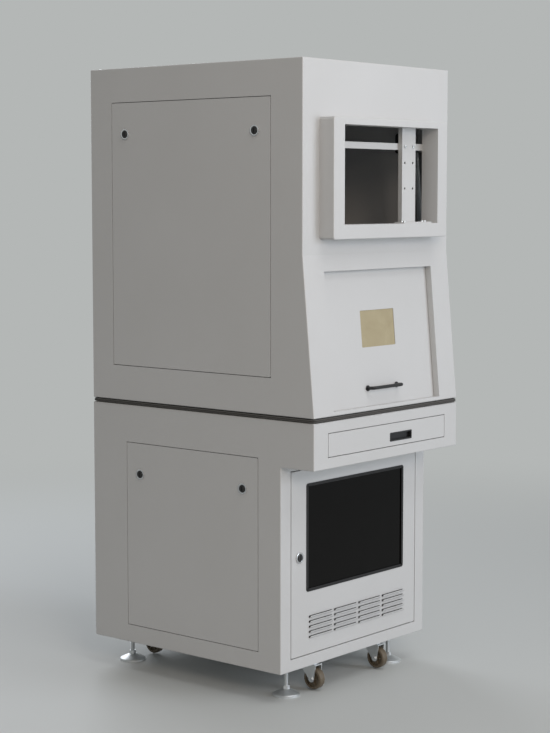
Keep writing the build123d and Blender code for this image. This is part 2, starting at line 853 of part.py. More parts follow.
inlet_spot = (-inlet_middle[0], inlet_middle[1] - middle(rear_lower_z))
rear_vent_spot = (0, length(rear_lower_z) / 2 - rear_vent_drop)
with BuildPart() as rear_lower_panel:
    face = rear_face(rear_lower_z)
    add(folded_panel(face, inside_gap(rear_lower_size), panel_flange))
    with BuildSketch(face):
        with Locations(inlet_spot):
            Rectangle(*inlet_size)
        with Locations(rear_vent_spot):
            with GridLocations(*rear_vent_pitch, rear_vent_columns, rear_vent_rows):
                SlotOverall(*rear_vent_slot)
    extrude(amount=-sheet, mode=Mode.SUBTRACT)
save(rear_lower_panel.part, "rear_lower_panel")

# Keyboard drawer: front, tray and telescopic runners hung from the top of the nose
tray_half = drawer_x[1] - tray_margin
tray_bottom = drawer_z[0] + tray_lift
tray_z = (tray_bottom, tray_bottom + drawer_side_height)
tray_y = (nose_y + panel_flange, nose_y + panel_flange + drawer_depth)
rail_z = (middle(tray_z) - rail_height / 2, middle(tray_z) + rail_height / 2)
slide_z = (rail_z[0] + slide_margin, rail_z[1] - slide_margin)
pull_face = plane_on(drawer_face, pull_middle[0] - middle(drawer_x), pull_middle[1] - middle(drawer_z))
with BuildPart() as drawer_front:
    add(folded_panel(drawer_face, inside_gap(drawer_size), panel_flange))
    with BuildSketch(pull_face):
        RectangleRounded(*pull_size, bend)
    extrude(amount=-sheet, mode=Mode.SUBTRACT)
save(drawer_front.part, "drawer_front")

# Flush cup pull, clipped into the drawer front from outside
with BuildPart() as drawer_pull:
    with BuildSketch(pull_face):
        RectangleRounded(pull_size[0] + 2 * pull_lip, pull_size[1] + 2 * pull_lip, bend)
    extrude(amount=pull_flange)
    with BuildSketch(pull_face):
        RectangleRounded(pull_size[0] - play, pull_size[1] - play, bend - play / 2)
    extrude(amount=-pull_depth)
    with BuildSketch(pull_face.offset(pull_flange)):
        RectangleRounded(pull_size[0] - 2 * pull_lip, pull_size[1] - 2 * pull_lip, bend - pull_flange)
    extrude(amount=-pull_depth + pull_flange, mode=Mode.SUBTRACT)
save(drawer_pull.part, "drawer_pull")

rail_middle_y = tray_y[0] + rail_length / 2
with BuildPart() as drawer_tray:
    with BuildSketch(Plane.XY.offset(tray_z[0])):
        with Locations((0, middle(tray_y))):
            Rectangle(2 * tray_half, length(tray_y))
    extrude(amount=length(tray_z))
    with BuildSketch(Plane.XY.offset(tray_z[0] + drawer_wall)):
        with Locations((0, middle(tray_y))):
            Rectangle(2 * (tray_half - drawer_wall), length(tray_y) - 2 * drawer_wall)
    extrude(amount=length(tray_z), mode=Mode.SUBTRACT)
    with BuildSketch(Plane.XY.offset(slide_z[0])):
        for side in (-1, 1):
            with Locations((side * (tray_half + slide_thickness / 2), rail_middle_y)):
                Rectangle(slide_thickness, rail_length)
    extrude(amount=length(slide_z))
save(drawer_tray.part, "drawer_tray")

with BuildPart() as drawer_rails:
    for side in (-1, 1):
        web = side * (tray_half + slide_thickness + play + rail_thickness)
        with BuildSketch(Plane.XY.offset(rail_z[0])):
            with Locations((web - side * rail_thickness / 2, rail_middle_y)):
                Rectangle(rail_thickness, rail_length)
        extrude(amount=length(rail_z))
        with BuildSketch(Plane.XY.offset(rail_z[0])):
            with Locations((web + side * sheet / 2, rail_middle_y)):
                Rectangle(sheet, rail_length)
        extrude(amount=base_top_z - sheet - rail_z[0])
save(drawer_rails.part, "drawer_rails")

# Levelling feet: a dished pad on a threaded stem with spanner flats
foot_outline = [
    (0, 0),
    (foot_pad_radius, 0),
    (foot_pad_radius, foot_pad_edge - foot_pad_round),
    (foot_pad_radius - foot_pad_round, foot_pad_edge),
    (foot_neck_radius + foot_neck_flare, foot_pad_height - foot_pad_round),
    (foot_neck_radius, foot_pad_height),
    (stem_radius, foot_pad_height),
    (stem_radius, stem_top_z - stem_tip),
    (stem_radius - stem_tip, stem_top_z),
    (0, stem_top_z),
]
for spot, corner in zip(foot_spots, corners):
    with BuildPart() as foot:
        with BuildSketch(Plane.XZ):
            with BuildLine():
                Polyline(*foot_outline, close=True)
            make_face()
        revolve(axis=Axis.Z)
        with BuildSketch(Plane.XY.offset(foot_pad_height)):
            RegularPolygon(foot_nut_across / 2, 6, major_radius=False)
        extrude(amount=foot_nut_height)
    save(Pos(*spot, 0) * foot.part, f"foot_{corner}")

# Swivel castors with V-shaped forks, drawn about their kingpin with the wheel trailing to the front
axle_z = castor_lift + wheel_radius
plate_bottom = underside_z - castor_plate[2]
race_bottom = plate_bottom - raceway_height
fork_top = race_bottom - play
leg_x = wheel_width / 2 + fork_gap
head_top = fork_top - fork_sheet - play
with BuildPart() as castor_plates:
    with BuildSketch(Plane.XY.offset(plate_bottom)):
        with Locations(*castor_spots):
            RectangleRounded(castor_plate[0], castor_plate[1], castor_plate_round)
    extrude(amount=castor_plate[2])
    with BuildSketch(Plane.XY.offset(race_bottom)):
        with Locations(*castor_spots):
            Circle(raceway_radius)
    extrude(amount=raceway_height)
    with BuildSketch(Plane.XY.offset(head_top)):
        with Locations(*castor_spots):
            Circle(kingpin_radius)
    extrude(amount=race_bottom - head_top)
    with BuildSketch(Plane.XY.offset(head_top)):
        with Locations(*castor_spots):
            Circle(kingpin_head_radius)
    extrude(amount=-kingpin_head_height)
save(castor_plates.part, "castor_plates")

with BuildPart() as castor_fork:
    with BuildSketch(Plane.XY.offset(fork_top)):
        Circle(raceway_radius + fork_overhang)
        with Locations((0, (leg_rear - leg_front) / 2)):
            Rectangle(2 * (leg_x + fork_sheet), leg_rear + leg_front)
    extrude(amount=-fork_sheet)
    for side in (-1, 1):
        with BuildSketch(Plane.YZ.offset(side * (leg_x + fork_sheet / 2))) as leg:
            with BuildLine():
                Polyline(
                    (-leg_front, fork_top),
                    (-castor_trail - hub_radius, axle_z),
                    (-castor_trail + hub_radius, axle_z),
                    (leg_rear, fork_top),
                    close=True,
                )
            make_face()
            with Locations((-castor_trail, axle_z)):
                Circle(hub_radius)
        extrude(amount=fork_sheet / 2, both=True)
    with BuildSketch(Plane.YZ):
        with Locations((-castor_trail, axle_z)):
            Circle(axle_radius)
    extrude(amount=leg_x + fork_sheet, both=True)
    for side in (-1, 1):
        with BuildSketch(Plane.YZ.offset(side * (leg_x + fork_sheet))):
            with Locations((-castor_trail, axle_z)):
                RegularPolygon(axle_nut_radius, 6)
        extrude(amount=side * axle_nut_height)
    with BuildSketch(Plane.XY.offset(fork_top)):
        Circle(kingpin_radius + running_fit)
    extrude(amount=-fork_sheet, mode=Mode.SUBTRACT)

with BuildPart() as castor_wheel:
    with BuildSketch(Plane.YZ.offset(-wheel_width / 2)):
        with Locations((-castor_trail, axle_z)):
            Circle(wheel_radius)
            Circle(axle_radius + running_fit, mode=Mode.SUBTRACT)
    extrude(amount=wheel_width)
    fillet(castor_wheel.edges().filter_by(GeomType.CIRCLE).sort_by(SortBy.RADIUS)[-2:], wheel_round)
    for side in (-1, 1):
        with BuildSketch(Plane.YZ.offset(side * wheel_width / 2)):
            with Locations((-castor_trail, axle_z)):
                Circle(wheel_radius - wheel_rim)
                Circle(hub_radius, mode=Mode.SUBTRACT)
        extrude(amount=-side * web_depth, mode=Mode.SUBTRACT)
for spot, corner in zip(castor_spots, corners):
    save(Pos(*spot, 0) * castor_fork.part, f"castor_fork_{corner}")
    save(Pos(*spot, 0) * castor_wheel.part, f"castor_wheel_{corner}")

# Work table: an aluminium plate with T-slots along X
table_middle_y = front_y + table_front + table_size[1] / 2
with BuildPart() as work_table:
    with BuildSketch(Plane.YZ):
        with Locations((table_middle_y, floor_z + table_size[2] / 2)):
            Rectangle(table_size[1], table_size[2])
        with Locations((table_middle_y, floor_z + table_size[2])):
            with GridLocations(slot_pitch, 1, slot_count, 1):
                Rectangle(slot_width, 2 * slot_depth, mode=Mode.SUBTRACT)
        with Locations((table_middle_y, floor_z + table_size[2] - slot_depth + slot_foot[1] / 2)):
            with GridLocations(slot_pitch, 1, slot_count, 1):
                Rectangle(*slot_foot, mode=Mode.SUBTRACT)
    extrude(amount=table_size[0] / 2, both=True)
save(work_table.part, "work_table")

# Lift column: foot plate, tube, two guide rails and the screw's bearings
column_front = front_y + column_y
column_middle_y = column_front + column_size[1] / 2
screw_y = column_front - screw_offset
tube_z = (floor_z + column_foot[2], column_top_z)
lift_rail_z = (tube_z[0] + lift_rail_margin, tube_z[1] - lift_rail_margin)
bearing_block_z = (tube_z[0], tube_z[1] - bearing_block_margin - bearing_block[2])
with BuildPart() as lift_column:
    with BuildSketch(Plane.XY.offset(floor_z)):
        with Locations((0, column_middle_y)):
            Rectangle(column_foot[0], column_foot[1])
            with GridLocations(*column_bolt_pitch, 2, 2):
                Circle(column_bolt_radius, mode=Mode.SUBTRACT)
    extrude(amount=column_foot[2])
    with BuildSketch(Plane.XY.offset(tube_z[0])):
        with Locations((0, column_middle_y)):
            Rectangle(*column_size)
            Rectangle(column_size[0] - 2 * column_wall, column_size[1] - 2 * column_wall, mode=Mode.SUBTRACT)
    extrude(amount=length(tube_z))
    with BuildSketch(Plane.XY.offset(lift_rail_z[0])):
        with Locations((0, column_front - lift_rail[1] / 2)):
            with GridLocations(lift_rail_spacing, 1, 2, 1):
                Rectangle(*lift_rail)
    extrude(amount=length(lift_rail_z))
    for z in bearing_block_z:
        with BuildSketch(Plane.XY.offset(z)):
            with Locations((0, column_front - bearing_block[1] / 2)):
                Rectangle(bearing_block[0], bearing_block[1])
            with Locations((0, screw_y)):
                Circle(lift_screw_radius + running_fit, mode=Mode.SUBTRACT)
        extrude(amount=bearing_block[2])
save(lift_column.part, "lift_column")

# Lift carriage: plate, four bearings round the rails and the nut block on the screw
bearing_y = column_front - bearing_clear - bearing_depth / 2
plate_back = column_front - bearing_clear - bearing_depth
carriage_bottom = carriage_z - carriage_size[1] / 2
with BuildPart() as lift_carriage:
    with BuildSketch(Plane.XY.offset(carriage_bottom)):
        with Locations((0, plate_back - carriage_size[2] / 2)):
            Rectangle(carriage_size[0], carriage_size[2])
    extrude(amount=carriage_size[1])
    for z in (carriage_bottom, carriage_bottom + carriage_size[1] - bearing_length):
        with BuildSketch(Plane.XY.offset(z)):
            with Locations((0, bearing_y)):
                with GridLocations(lift_rail_spacing, 1, 2, 1):
                    Rectangle(bearing_width, bearing_depth)
        extrude(amount=bearing_length)
    with BuildSketch(Plane.XY.offset(carriage_z - nut_size[1] / 2)):
        with Locations((0, bearing_y)):
            Rectangle(nut_size[0], bearing_depth)
    extrude(amount=nut_size[1])
    with BuildSketch(Plane.XY.offset(carriage_bottom)):
        with Locations((0, column_front - lift_rail[1] / 2)):
            with GridLocations(lift_rail_spacing, 1, 2, 1):
                Rectangle(lift_rail[0] + 2 * play, lift_rail[1] + 2 * play)
        with Locations((0, screw_y)):
            Circle(lift_screw_radius + running_fit)
    extrude(amount=carriage_size[1], mode=Mode.SUBTRACT)
save(lift_carriage.part, "lift_carriage")

# Lift screw and the handwheel on its top end
with BuildPart() as lift_screw:
    with BuildSketch(Plane.XY.offset(bearing_block_z[0])):
        with Locations((0, screw_y)):
            Circle(lift_screw_radius)
    extrude(amount=column_top_z + screw_rise - bearing_block_z[0])
save(lift_screw.part, "lift_screw")

rim_radius = handwheel_radius - handwheel_rim
with BuildPart() as lift_handwheel:
    with BuildSketch(Plane.XZ):
        with Locations((rim_radius, 0)):
            Circle(handwheel_rim)
    revolve(axis=Axis.Z)
    with BuildSketch(Plane.XY):
        Rectangle(2 * rim_radius, handwheel_spoke[0])
        Rectangle(handwheel_spoke[0], 2 * rim_radius)
    extrude(amount=handwheel_spoke[1] / 2, both=True)
    with BuildSketch(Plane.XY):
        Circle(handwheel_hub[0])
    extrude(amount=handwheel_hub[1] / 2, both=True)
    with BuildSketch(Plane.XY.offset(handwheel_rim - grip_seat)):
        with Locations((0, -rim_radius)):
            Circle(handwheel_grip[0])
    extrude(amount=grip_seat + handwheel_grip[1])
    with BuildSketch(Plane.XY):
        Circle(lift_screw_radius)
    extrude(amount=handwheel_hub[1] / 2, both=True, mode=Mode.SUBTRACT)
save(Pos(0, screw_y, column_top_z + handwheel_rise) * lift_handwheel.part, "lift_handwheel")

# Laser arm, scan head and field lens
arm_back = plate_back - carriage_size[2]
head_middle_y = arm_back - arm_length - head_size[1] / 2
head_bottom = carriage_z - head_size[2] / 2
with BuildPart() as laser_arm:
    with BuildSketch(Plane.XZ.offset(-arm_back)):
        with Locations((0, carriage_z)):
            RectangleRounded(*arm_size, arm_round[0])
            RectangleRounded(
                arm_size[0] - 2 * arm_wall, arm_size[1] - 2 * arm_wall, arm_round[1], mode=Mode.SUBTRACT
            )
    extrude(amount=arm_length)
save(laser_arm.part, "laser_arm")

with BuildPart() as scan_head:
    with BuildSketch(Plane.XY.offset(head_bottom)):
        with Locations((0, head_middle_y)):
            RectangleRounded(head_size[0], head_size[1], head_round)
    extrude(amount=head_size[2])
    chamfer(scan_head.faces().sort_by(Axis.Z)[-1].edges(), head_chamfer)
save(scan_head.part, "scan_head")

lens_outline = [
    (0, lens_dish + lens_crown),
    (lens_radius - lens_rim, lens_dish),
    (lens_radius - lens_rim, 0),
    (lens_radius - lens_edge, 0),
    (lens_radius, lens_edge),
    (lens_radius, lens_height - lens_thread - lens_step),
    (lens_radius - lens_step, lens_height - lens_thread),
    (lens_radius - lens_step, lens_height),
    (0, lens_height),
]
with BuildPart() as field_lens:
    with BuildSketch(Plane.XZ):
        with BuildLine():
            Polyline(*lens_outline, close=True)
        make_face()
    revolve(axis=Axis.Z)
save(Pos(0, head_middle_y, head_bottom - lens_height) * field_lens.part, "field_lens")

# Laser source: a finned closed case with three ports in its front
electrics_y = front_y + base_depth / 2 + electrics_shift
source_x = source_margin + source_size[0] / 2 - half_width
source_front = front_face(source_x, electrics_y - source_size[1] / 2, base_floor_z + source_size[2] / 2)
with BuildPart() as laser_source:
    with BuildSketch(Plane.XY.offset(base_floor_z)):
        with Locations((source_x, electrics_y)):
            RectangleRounded(source_size[0], source_size[1], source_round)
    extrude(amount=source_size[2])
    chamfer(laser_source.faces().sort_by(Axis.Z)[-1].edges(), source_chamfer)
    with BuildSketch(Plane.XY.offset(base_floor_z + source_size[2])):
        with Locations((source_x, electrics_y)):
            with GridLocations(fin_pitch, 1, fin_count, 1):
                Rectangle(fin_gap, source_size[1] - 2 * fin_margin)
    extrude(amount=-fin_depth, mode=Mode.SUBTRACT)
    with BuildSketch(Plane.XY.offset(base_floor_z + source_wall)):
        with Locations((source_x, electrics_y)):
            Rectangle(source_size[0] - 2 * source_wall, source_size[1] - 2 * source_wall)
    extrude(amount=source_size[2] - fin_depth - 2 * source_wall, mode=Mode.SUBTRACT)
    with BuildSketch(source_front):
        with GridLocations(port_pitch, 1, port_count, 1):
            Circle(port_radius)
    extrude(amount=-source_wall, mode=Mode.SUBTRACT)
save(laser_source.part, "laser_source")

# Control computer: a sheet case with a slotted front and a drive bay
computer_x = half_width - computer_margin - computer_size[0] / 2
computer_front_y = electrics_y - computer_size[1] / 2
computer_front = front_face(computer_x, computer_front_y, base_floor_z + computer_size[2] / 2)
with BuildPart() as control_computer:
    with BuildSketch(Plane.XY.offset(base_floor_z)):
        with Locations((computer_x, electrics_y)):
            Rectangle(computer_size[0], computer_size[1])
    extrude(amount=computer_size[2])
    fillet(control_computer.edges().filter_by(Axis.Z), computer_round)
    with BuildSketch(Plane.XY.offset(base_floor_z + sheet)):
        with Locations((computer_x, electrics_y)):
            Rectangle(computer_size[0] - 2 * sheet, computer_size[1] - 2 * sheet)
    extrude(amount=computer_size[2] - 2 * sheet, mode=Mode.SUBTRACT)
    with BuildSketch(computer_front):
        with Locations((0, -computer_vent_drop)):
            with GridLocations(1, computer_vent_pitch, 1, computer_vent_rows):
                SlotOverall(*computer_vent_slot)
        with Locations((0, computer_bay_rise)):
            Rectangle(*computer_bay)
    extrude(amount=-sheet, mode=Mode.SUBTRACT)
save(control_computer.part, "control_computer")

# Power supply beside the source, with grooves pressed in its lid
supply_x = source_x + source_size[0] / 2 + supply_gap + supply_size[0] / 2
with BuildPart() as power_supply:
    with BuildSketch(Plane.XY.offset(base_floor_z)):
        with Locations((supply_x, electrics_y)):
            Rectangle(supply_size[0], supply_size[1])
    extrude(amount=supply_size[2])
    with BuildSketch(Plane.XY.offset(base_floor_z + supply_size[2])):
        with Locations((supply_x, electrics_y)):
            with GridLocations(1, supply_slot_pitch, 1, supply_slot_rows):
                SlotOverall(supply_slot[0], supply_slot[1])
    extrude(amount=-supply_slot[2], mode=Mode.SUBTRACT)
save(power_supply.part, "power_supply")

# Exhaust fan behind the upper rear panel
fan_face = plane_at(0, rear_y - sheet, fan_middle_z, (-1, 0, 0), (0, 1, 0))
fan_web_face = fan_face.offset(fan_web[1] - fan_depth)
with BuildPart() as fan_frame:
    with BuildSketch(fan_face):
        RectangleRounded(fan_size, fan_size, fan_round)
        Circle(fan_bore, mode=Mode.SUBTRACT)
        with GridLocations(fan_bolt_pitch, fan_bolt_pitch, 2, 2):
            Circle(fan_bolt_radius, mode=Mode.SUBTRACT)
    extrude(amount=-fan_depth)
    with BuildSketch(fan_web_face):
        Circle(fan_hub)
        Rectangle(2 * (fan_bore + play), fan_web[0])
        Rectangle(fan_web[0], 2 * (fan_bore + play))
    extrude(amount=-fan_web[1])
    with BuildSketch(fan_web_face):
        Circle(fan_spindle[0])
    extrude(amount=fan_spindle[1])
save(fan_frame.part, "fan_frame")

hub_length = fan_depth - 2 * fan_web[1]
with BuildPart() as fan_impeller:
    with BuildSketch(fan_web_face.offset(play)):
        Circle(fan_hub)
        Circle(fan_spindle[0] + running_fit, mode=Mode.SUBTRACT)
    extrude(amount=hub_length)
    with BuildSketch(fan_web_face.offset(play + hub_length)):
        Circle(fan_hub)
    extrude(amount=-fan_cap)
    for turn in range(fan_blades):
        angle = 2 * math.pi * turn / fan_blades
        pitch = math.radians(blade_degrees)
        radial = Vector(math.cos(angle), 0, math.sin(angle))
        tangent = Vector(-math.sin(angle), 0, math.cos(angle))
        chord = tangent * math.cos(pitch) + Vector(0, 1, 0) * math.sin(pitch)
        hub_middle = fan_face.from_local_coords((0, 0, -fan_depth / 2))
        with BuildSketch(Plane(origin=hub_middle + radial * (fan_hub - fan_cap), x_dir=chord, z_dir=radial)):
            Rectangle(blade_chord, blade_thickness)
        extrude(amount=fan_bore - blade_clear - fan_hub)
save(fan_impeller.part, "fan_impeller")

# Mains inlet with its rocker switch, in the lower rear panel
inlet_face = plane_at(inlet_middle[0], rear_y, inlet_middle[1], (-1, 0, 0), (0, 1, 0))
rocker_plane = plane_at(inlet_middle[0], rear_y, inlet_middle[1] + rocker_up, (0, 1, 0), (1, 0, 0))
pin_spots = [(-pin_offset[0], -pin_offset[1]), (0, pin_offset[1]), (pin_offset[0], -pin_offset[1])]
with BuildPart() as mains_inlet:
    with BuildSketch(inlet_face):
        RectangleRounded(inlet_size[0] + 2 * inlet_lap, inlet_size[1] + 2 * inlet_lap, inlet_round)
    extrude(amount=inlet_flange)
    with BuildSketch(inlet_face):
        Rectangle(inlet_size[0] - play, inlet_size[1] - play)
    extrude(amount=-inlet_depth)
    with BuildSketch(inlet_face.offset(inlet_flange)):
        with Locations((0, rocker_up)):
            RectangleRounded(
                rocker_pocket[0] + 2 * rocker_frame, rocker_pocket[1] + 2 * rocker_frame, rocker_frame
            )
    extrude(amount=rocker_rise)
    with BuildSketch(inlet_face.offset(rear_reach)):
        with Locations((0, rocker_up)):
            Rectangle(*rocker_pocket)
    extrude(amount=-rear_reach - rocker_pocket_depth, mode=Mode.SUBTRACT)
    with BuildSketch(inlet_face.offset(inlet_flange)):
        with Locations((0, -socket_drop)):
            Rectangle(*socket_size)
    extrude(amount=-socket_depth, mode=Mode.SUBTRACT)
    with BuildSketch(plane_on(inlet_face.offset(inlet_flange - socket_depth), 0, -socket_drop)):
        with Locations(*pin_spots):
            Rectangle(pin_size[0], pin_size[1])
    extrude(amount=pin_size[2])
    with BuildSketch(rocker_plane):
        Circle(rocker_pin_radius)
    extrude(amount=rocker_pocket[0] / 2, both=True)
save(mains_inlet.part, "mains_inlet")

rocker_outline = [
    (rocker_heel[0], -rocker_heel[1]),
    (rocker_tip[0], -rocker_tip[1]),
    (rocker_waist, 0),
    rocker_tip,
    rocker_heel,
]
with BuildPart() as mains_rocker:
    with BuildSketch(rocker_plane):
        with BuildLine():
            Polyline(*rocker_outline, close=True)
        make_face()
        Circle(rocker_pin_radius + running_fit, mode=Mode.SUBTRACT)
    extrude(amount=rocker_pocket[0] / 2 - play, both=True)
rocker_axis = Axis(rocker_plane.origin, (1, 0, 0))
save(mains_rocker.part.rotate(rocker_axis, -rocker_degrees), "mains_rocker")
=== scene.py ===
import json
import math

import bmesh
import bpy
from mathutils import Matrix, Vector


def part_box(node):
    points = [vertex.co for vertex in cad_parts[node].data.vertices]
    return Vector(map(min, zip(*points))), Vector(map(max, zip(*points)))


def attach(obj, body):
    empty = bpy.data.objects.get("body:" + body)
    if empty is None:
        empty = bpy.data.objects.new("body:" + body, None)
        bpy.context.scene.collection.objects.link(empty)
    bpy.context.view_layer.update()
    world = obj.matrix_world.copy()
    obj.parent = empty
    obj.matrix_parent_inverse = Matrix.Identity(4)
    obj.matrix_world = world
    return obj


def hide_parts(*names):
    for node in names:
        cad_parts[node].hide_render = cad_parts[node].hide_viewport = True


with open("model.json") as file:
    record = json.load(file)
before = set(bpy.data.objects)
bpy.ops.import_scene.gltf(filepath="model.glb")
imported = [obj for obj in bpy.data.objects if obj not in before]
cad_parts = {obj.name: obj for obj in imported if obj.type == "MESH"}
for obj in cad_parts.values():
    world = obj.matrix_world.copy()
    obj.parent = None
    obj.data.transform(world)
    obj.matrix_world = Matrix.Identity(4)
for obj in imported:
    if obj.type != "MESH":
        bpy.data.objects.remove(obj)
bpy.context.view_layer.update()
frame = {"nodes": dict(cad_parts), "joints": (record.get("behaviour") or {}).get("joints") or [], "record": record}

nodes = frame["nodes"]
up = Vector((0, 0, 1))
right = Vector((1, 0, 0))
front = Vector((0, -1, 0))
rear = Vector((0, 1, 0))
corners = ("front_left", "rear_left", "front_right", "rear_right")


# Small helpers for selecting and finishing

mergeWithin = 0.000005      # metres, far below the smallest edge


def selectOnly(*pieces):
    bpy.ops.object.select_all(action="DESELECT")
    for piece in pieces:
        piece.select_set(True)
    bpy.context.view_layer.objects.active = pieces[-1]


def editPiece(piece, mode="FACE"):
    selectOnly(piece)
    bpy.ops.object.mode_set(mode="EDIT")
    bpy.ops.mesh.select_mode(type=mode)


def pick(piece, wanted, kind="faces"):
    bpy.ops.mesh.select_all(action="DESELECT")
    mesh = bmesh.from_edit_mesh(piece.data)
    for item in getattr(mesh, kind):
        if wanted(item):
            item.select_set(True)
    bmesh.update_edit_mesh(piece.data)


def cleanMesh(piece):
    editPiece(piece, "VERT")
    bpy.ops.mesh.select_all(action="SELECT")
    bpy.ops.mesh.remove_doubles(threshold=mergeWithin)
    bpy.ops.mesh.normals_make_consistent(inside=False)
    bpy.ops.object.mode_set(mode="OBJECT")


def applyModifier(piece, kind, **settings):
    selectOnly(piece)
    modifier = piece.modifiers.new(kind.title(), kind)
    for name, value in settings.items():
        setattr(modifier, name, value)
    bpy.ops.object.modifier_apply(modifier=modifier.name)


def applyPlace(piece):
    selectOnly(piece)
    bpy.ops.object.transform_apply(location=True, rotation=True, scale=True)


def standOn(piece, spot, outward):
    piece.rotation_mode = "QUATERNION"
    piece.rotation_quaternion = outward.to_track_quat("Z", "Y")
    piece.location = spot
    applyPlace(piece)


def joinAs(name, pieces):
    selectOnly(*pieces)
    if len(pieces) > 1:
        bpy.ops.object.join()
    group = bpy.context.object
    group.name = name
    group.data.name = name
    return group


def copiesAt(master, name, spots, outward):
    copies = []
    for spot in spots:
        selectOnly(master)
        bpy.ops.object.duplicate(linked=False)
        copy = bpy.context.object
        standOn(copy, spot, outward)
        copies.append(copy)
    return joinAs(name, copies)


def finishPiece(piece, slotName, body, smooth=35, material=None):
    # The slot's own finish, unless another one is given
    piece.data.materials.clear()
    piece.data.materials.append(material or finishes[slotName])
    selectOnly(piece)
    bpy.ops.object.shade_smooth_by_angle(angle=math.radians(smooth))
    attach(piece, body)


def middleOf(node):
    low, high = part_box(node)
    return (low + high) / 2


# Materials: each one is named for the real finish

def linearColour(hexCode):
    channels = [int(hexCode[i:i + 2], 16) / 255 for i in (1, 3, 5)]
    return [c / 12.92 if c <= 0.04045 else ((c + 0.055) / 1.055) ** 2.4 for c in channels] + [1.0]


def addNode(tree, kind, settings, links=None, into=None):
    # Values go on the node's own sockets, links feed it, and its outputs go into other sockets
    node = tree.nodes.new(kind)
    for name, value in settings.items():
        if isinstance(name, int) or name in node.inputs:
            node.inputs[name].default_value = value
        else:
            setattr(node, name, value)
    for name, source in (links or {}).items():
        tree.links.new(source, node.inputs[name])
    for name, target in (into or {}).items():
        tree.links.new(node.outputs[name], target)
    return node


def startMaterial(name, settings):
    material = bpy.data.materials.new(name)
    material.use_nodes = True
    tree = material.node_tree
    tree.nodes.clear()
    output = addNode(tree, "ShaderNodeOutputMaterial", {})
    shader = addNode(tree, "ShaderNodeBsdfPrincipled", settings, {}, {"BSDF": output.inputs["Surface"]})
    place = addNode(tree, "ShaderNodeTexCoord", {})
    return material, tree, shader, place.outputs["Object"]


def perMetre(size):
    return 1 / size     # a noise cell or a wave of this size, in metres


def patternSurface(tree, shader, pattern, look):
    # One pattern blends two tones, makes the gloss uneven and raises the surface
    if "tones" in look:
        first, second = [linearColour(tone) for tone in look["tones"]]
        addNode(
            tree, "ShaderNodeMix", {"data_type": "RGBA", 6: first, 7: second},
            {0: pattern}, {2: shader.inputs["Base Color"]},
        )
    if "roughness" in look:
        low, high = look["roughness"]
        addNode(
            tree, "ShaderNodeMapRange", {"To Min": low, "To Max": high},
            {"Value": pattern}, {"Result": shader.inputs["Roughness"]},
        )
    if "depth" in look:
        addNode(
            tree, "ShaderNodeBump", {"Distance": look["depth"]},
            {"Height": pattern}, {"Normal": shader.inputs["Normal"]},
        )


paint = {
    "tones": ("#CECECE", "#C7C7C6"),        # light grey polyester powder
    "cloudSize": 0.35,          # the two tones drift into each other over a whole panel
    "roughness": (0.40, 0.50),
    "peelSize": 0.009,          # real orange peel is near 1.5 mm, drawn coarser so that it shows
    "peelDepth": 0.00012,
    "waveSize": 0.23,           # slight waves of a large thin sheet
    "waveDepth": 0.0011,
}


def powderCoat():
    # Sprayed and baked powder on sheet steel: satin, a little orange peel, and soft waves in large sheets
    material, tree, shader, where = startMaterial("powder_coat_light_grey", {"IOR": 1.5})
    cloud = addNode(
        tree, "ShaderNodeTexNoise", {"Scale": perMetre(paint["cloudSize"]), "Detail": 3.0}, {"Vector": where}
    )
    patternSurface(tree, shader, cloud.outputs["Fac"], {"tones": paint["tones"]})
    peel = addNode(
        tree, "ShaderNodeTexNoise", {"Scale": perMetre(paint["peelSize"]), "Detail": 2.0}, {"Vector": where}
    )
    patternSurface(tree, shader, peel.outputs["Fac"], {"roughness": paint["roughness"]})
    wave = addNode(
        tree, "ShaderNodeTexNoise", {"Scale": perMetre(paint["waveSize"]), "Detail": 1.0}, {"Vector": where}
    )
    sheetBump = addNode(
        tree, "ShaderNodeBump", {"Distance": paint["waveDepth"]}, {"Height": wave.outputs["Fac"]}
    )
    addNode(
        tree, "ShaderNodeBump", {"Distance": paint["peelDepth"]},
        {"Height": peel.outputs["Fac"], "Normal": sheetBump.outputs["Normal"]},
        {"Normal": shader.inputs["Normal"]},
    )
    return material


rubber = {
    "ior": 1.52, "roughness": 0.72,
    "grain": 0.003,             # real grain is near 0.3 mm, drawn coarser so that it shows
    "depth": 0.0001,
}


def extrudedRubber(name, tones):
    # Filled rubber: matt, with a fine extrusion grain and a grey bloom
    settings = {"Roughness": rubber["roughness"], "IOR": rubber["ior"]}
    material, tree, shader, where = startMaterial(name, settings)
    grain = addNode(
        tree, "ShaderNodeTexNoise", {"Scale": perMetre(rubber["grain"]), "Detail": 4.0}, {"Vector": where}
    )
    patternSurface(tree, shader, grain.outputs["Fac"], {"tones": tones, "depth": rubber["depth"]})
    return material


streak = {"stretch": (1.0, 1.0, 6.0), "depth": 0.00003}     # squeezed along Z: it runs round the stems


def platedSteel(name, tones, roughness, grain):
    # Zinc, chrome or ground steel: metallic, with a faint streaked grain from forming
    material, tree, shader, where = startMaterial(name, {"Metallic": 1.0})
    stretched = addNode(tree, "ShaderNodeMapping", {"Scale": streak["stretch"]}, {"Vector": where})
    streaks = addNode(
        tree, "ShaderNodeTexNoise", {"Scale": perMetre(grain), "Detail": 4.0},
        {"Vector": stretched.outputs["Vector"]},
    )
    look = {"tones": tones, "roughness": roughness, "depth": streak["depth"]}
    patternSurface(tree, shader, streaks.outputs["Fac"], look)
    return material


pane = {
    "colour": "#0C0B0A", "ior": 1.49, "specular": 0.12,
    "waveSize": 0.11, "waveDepth": 0.0006,      # the slow waves of a cast sheet
    "smearSize": 0.05, "roughness": (0.04, 0.13),
}


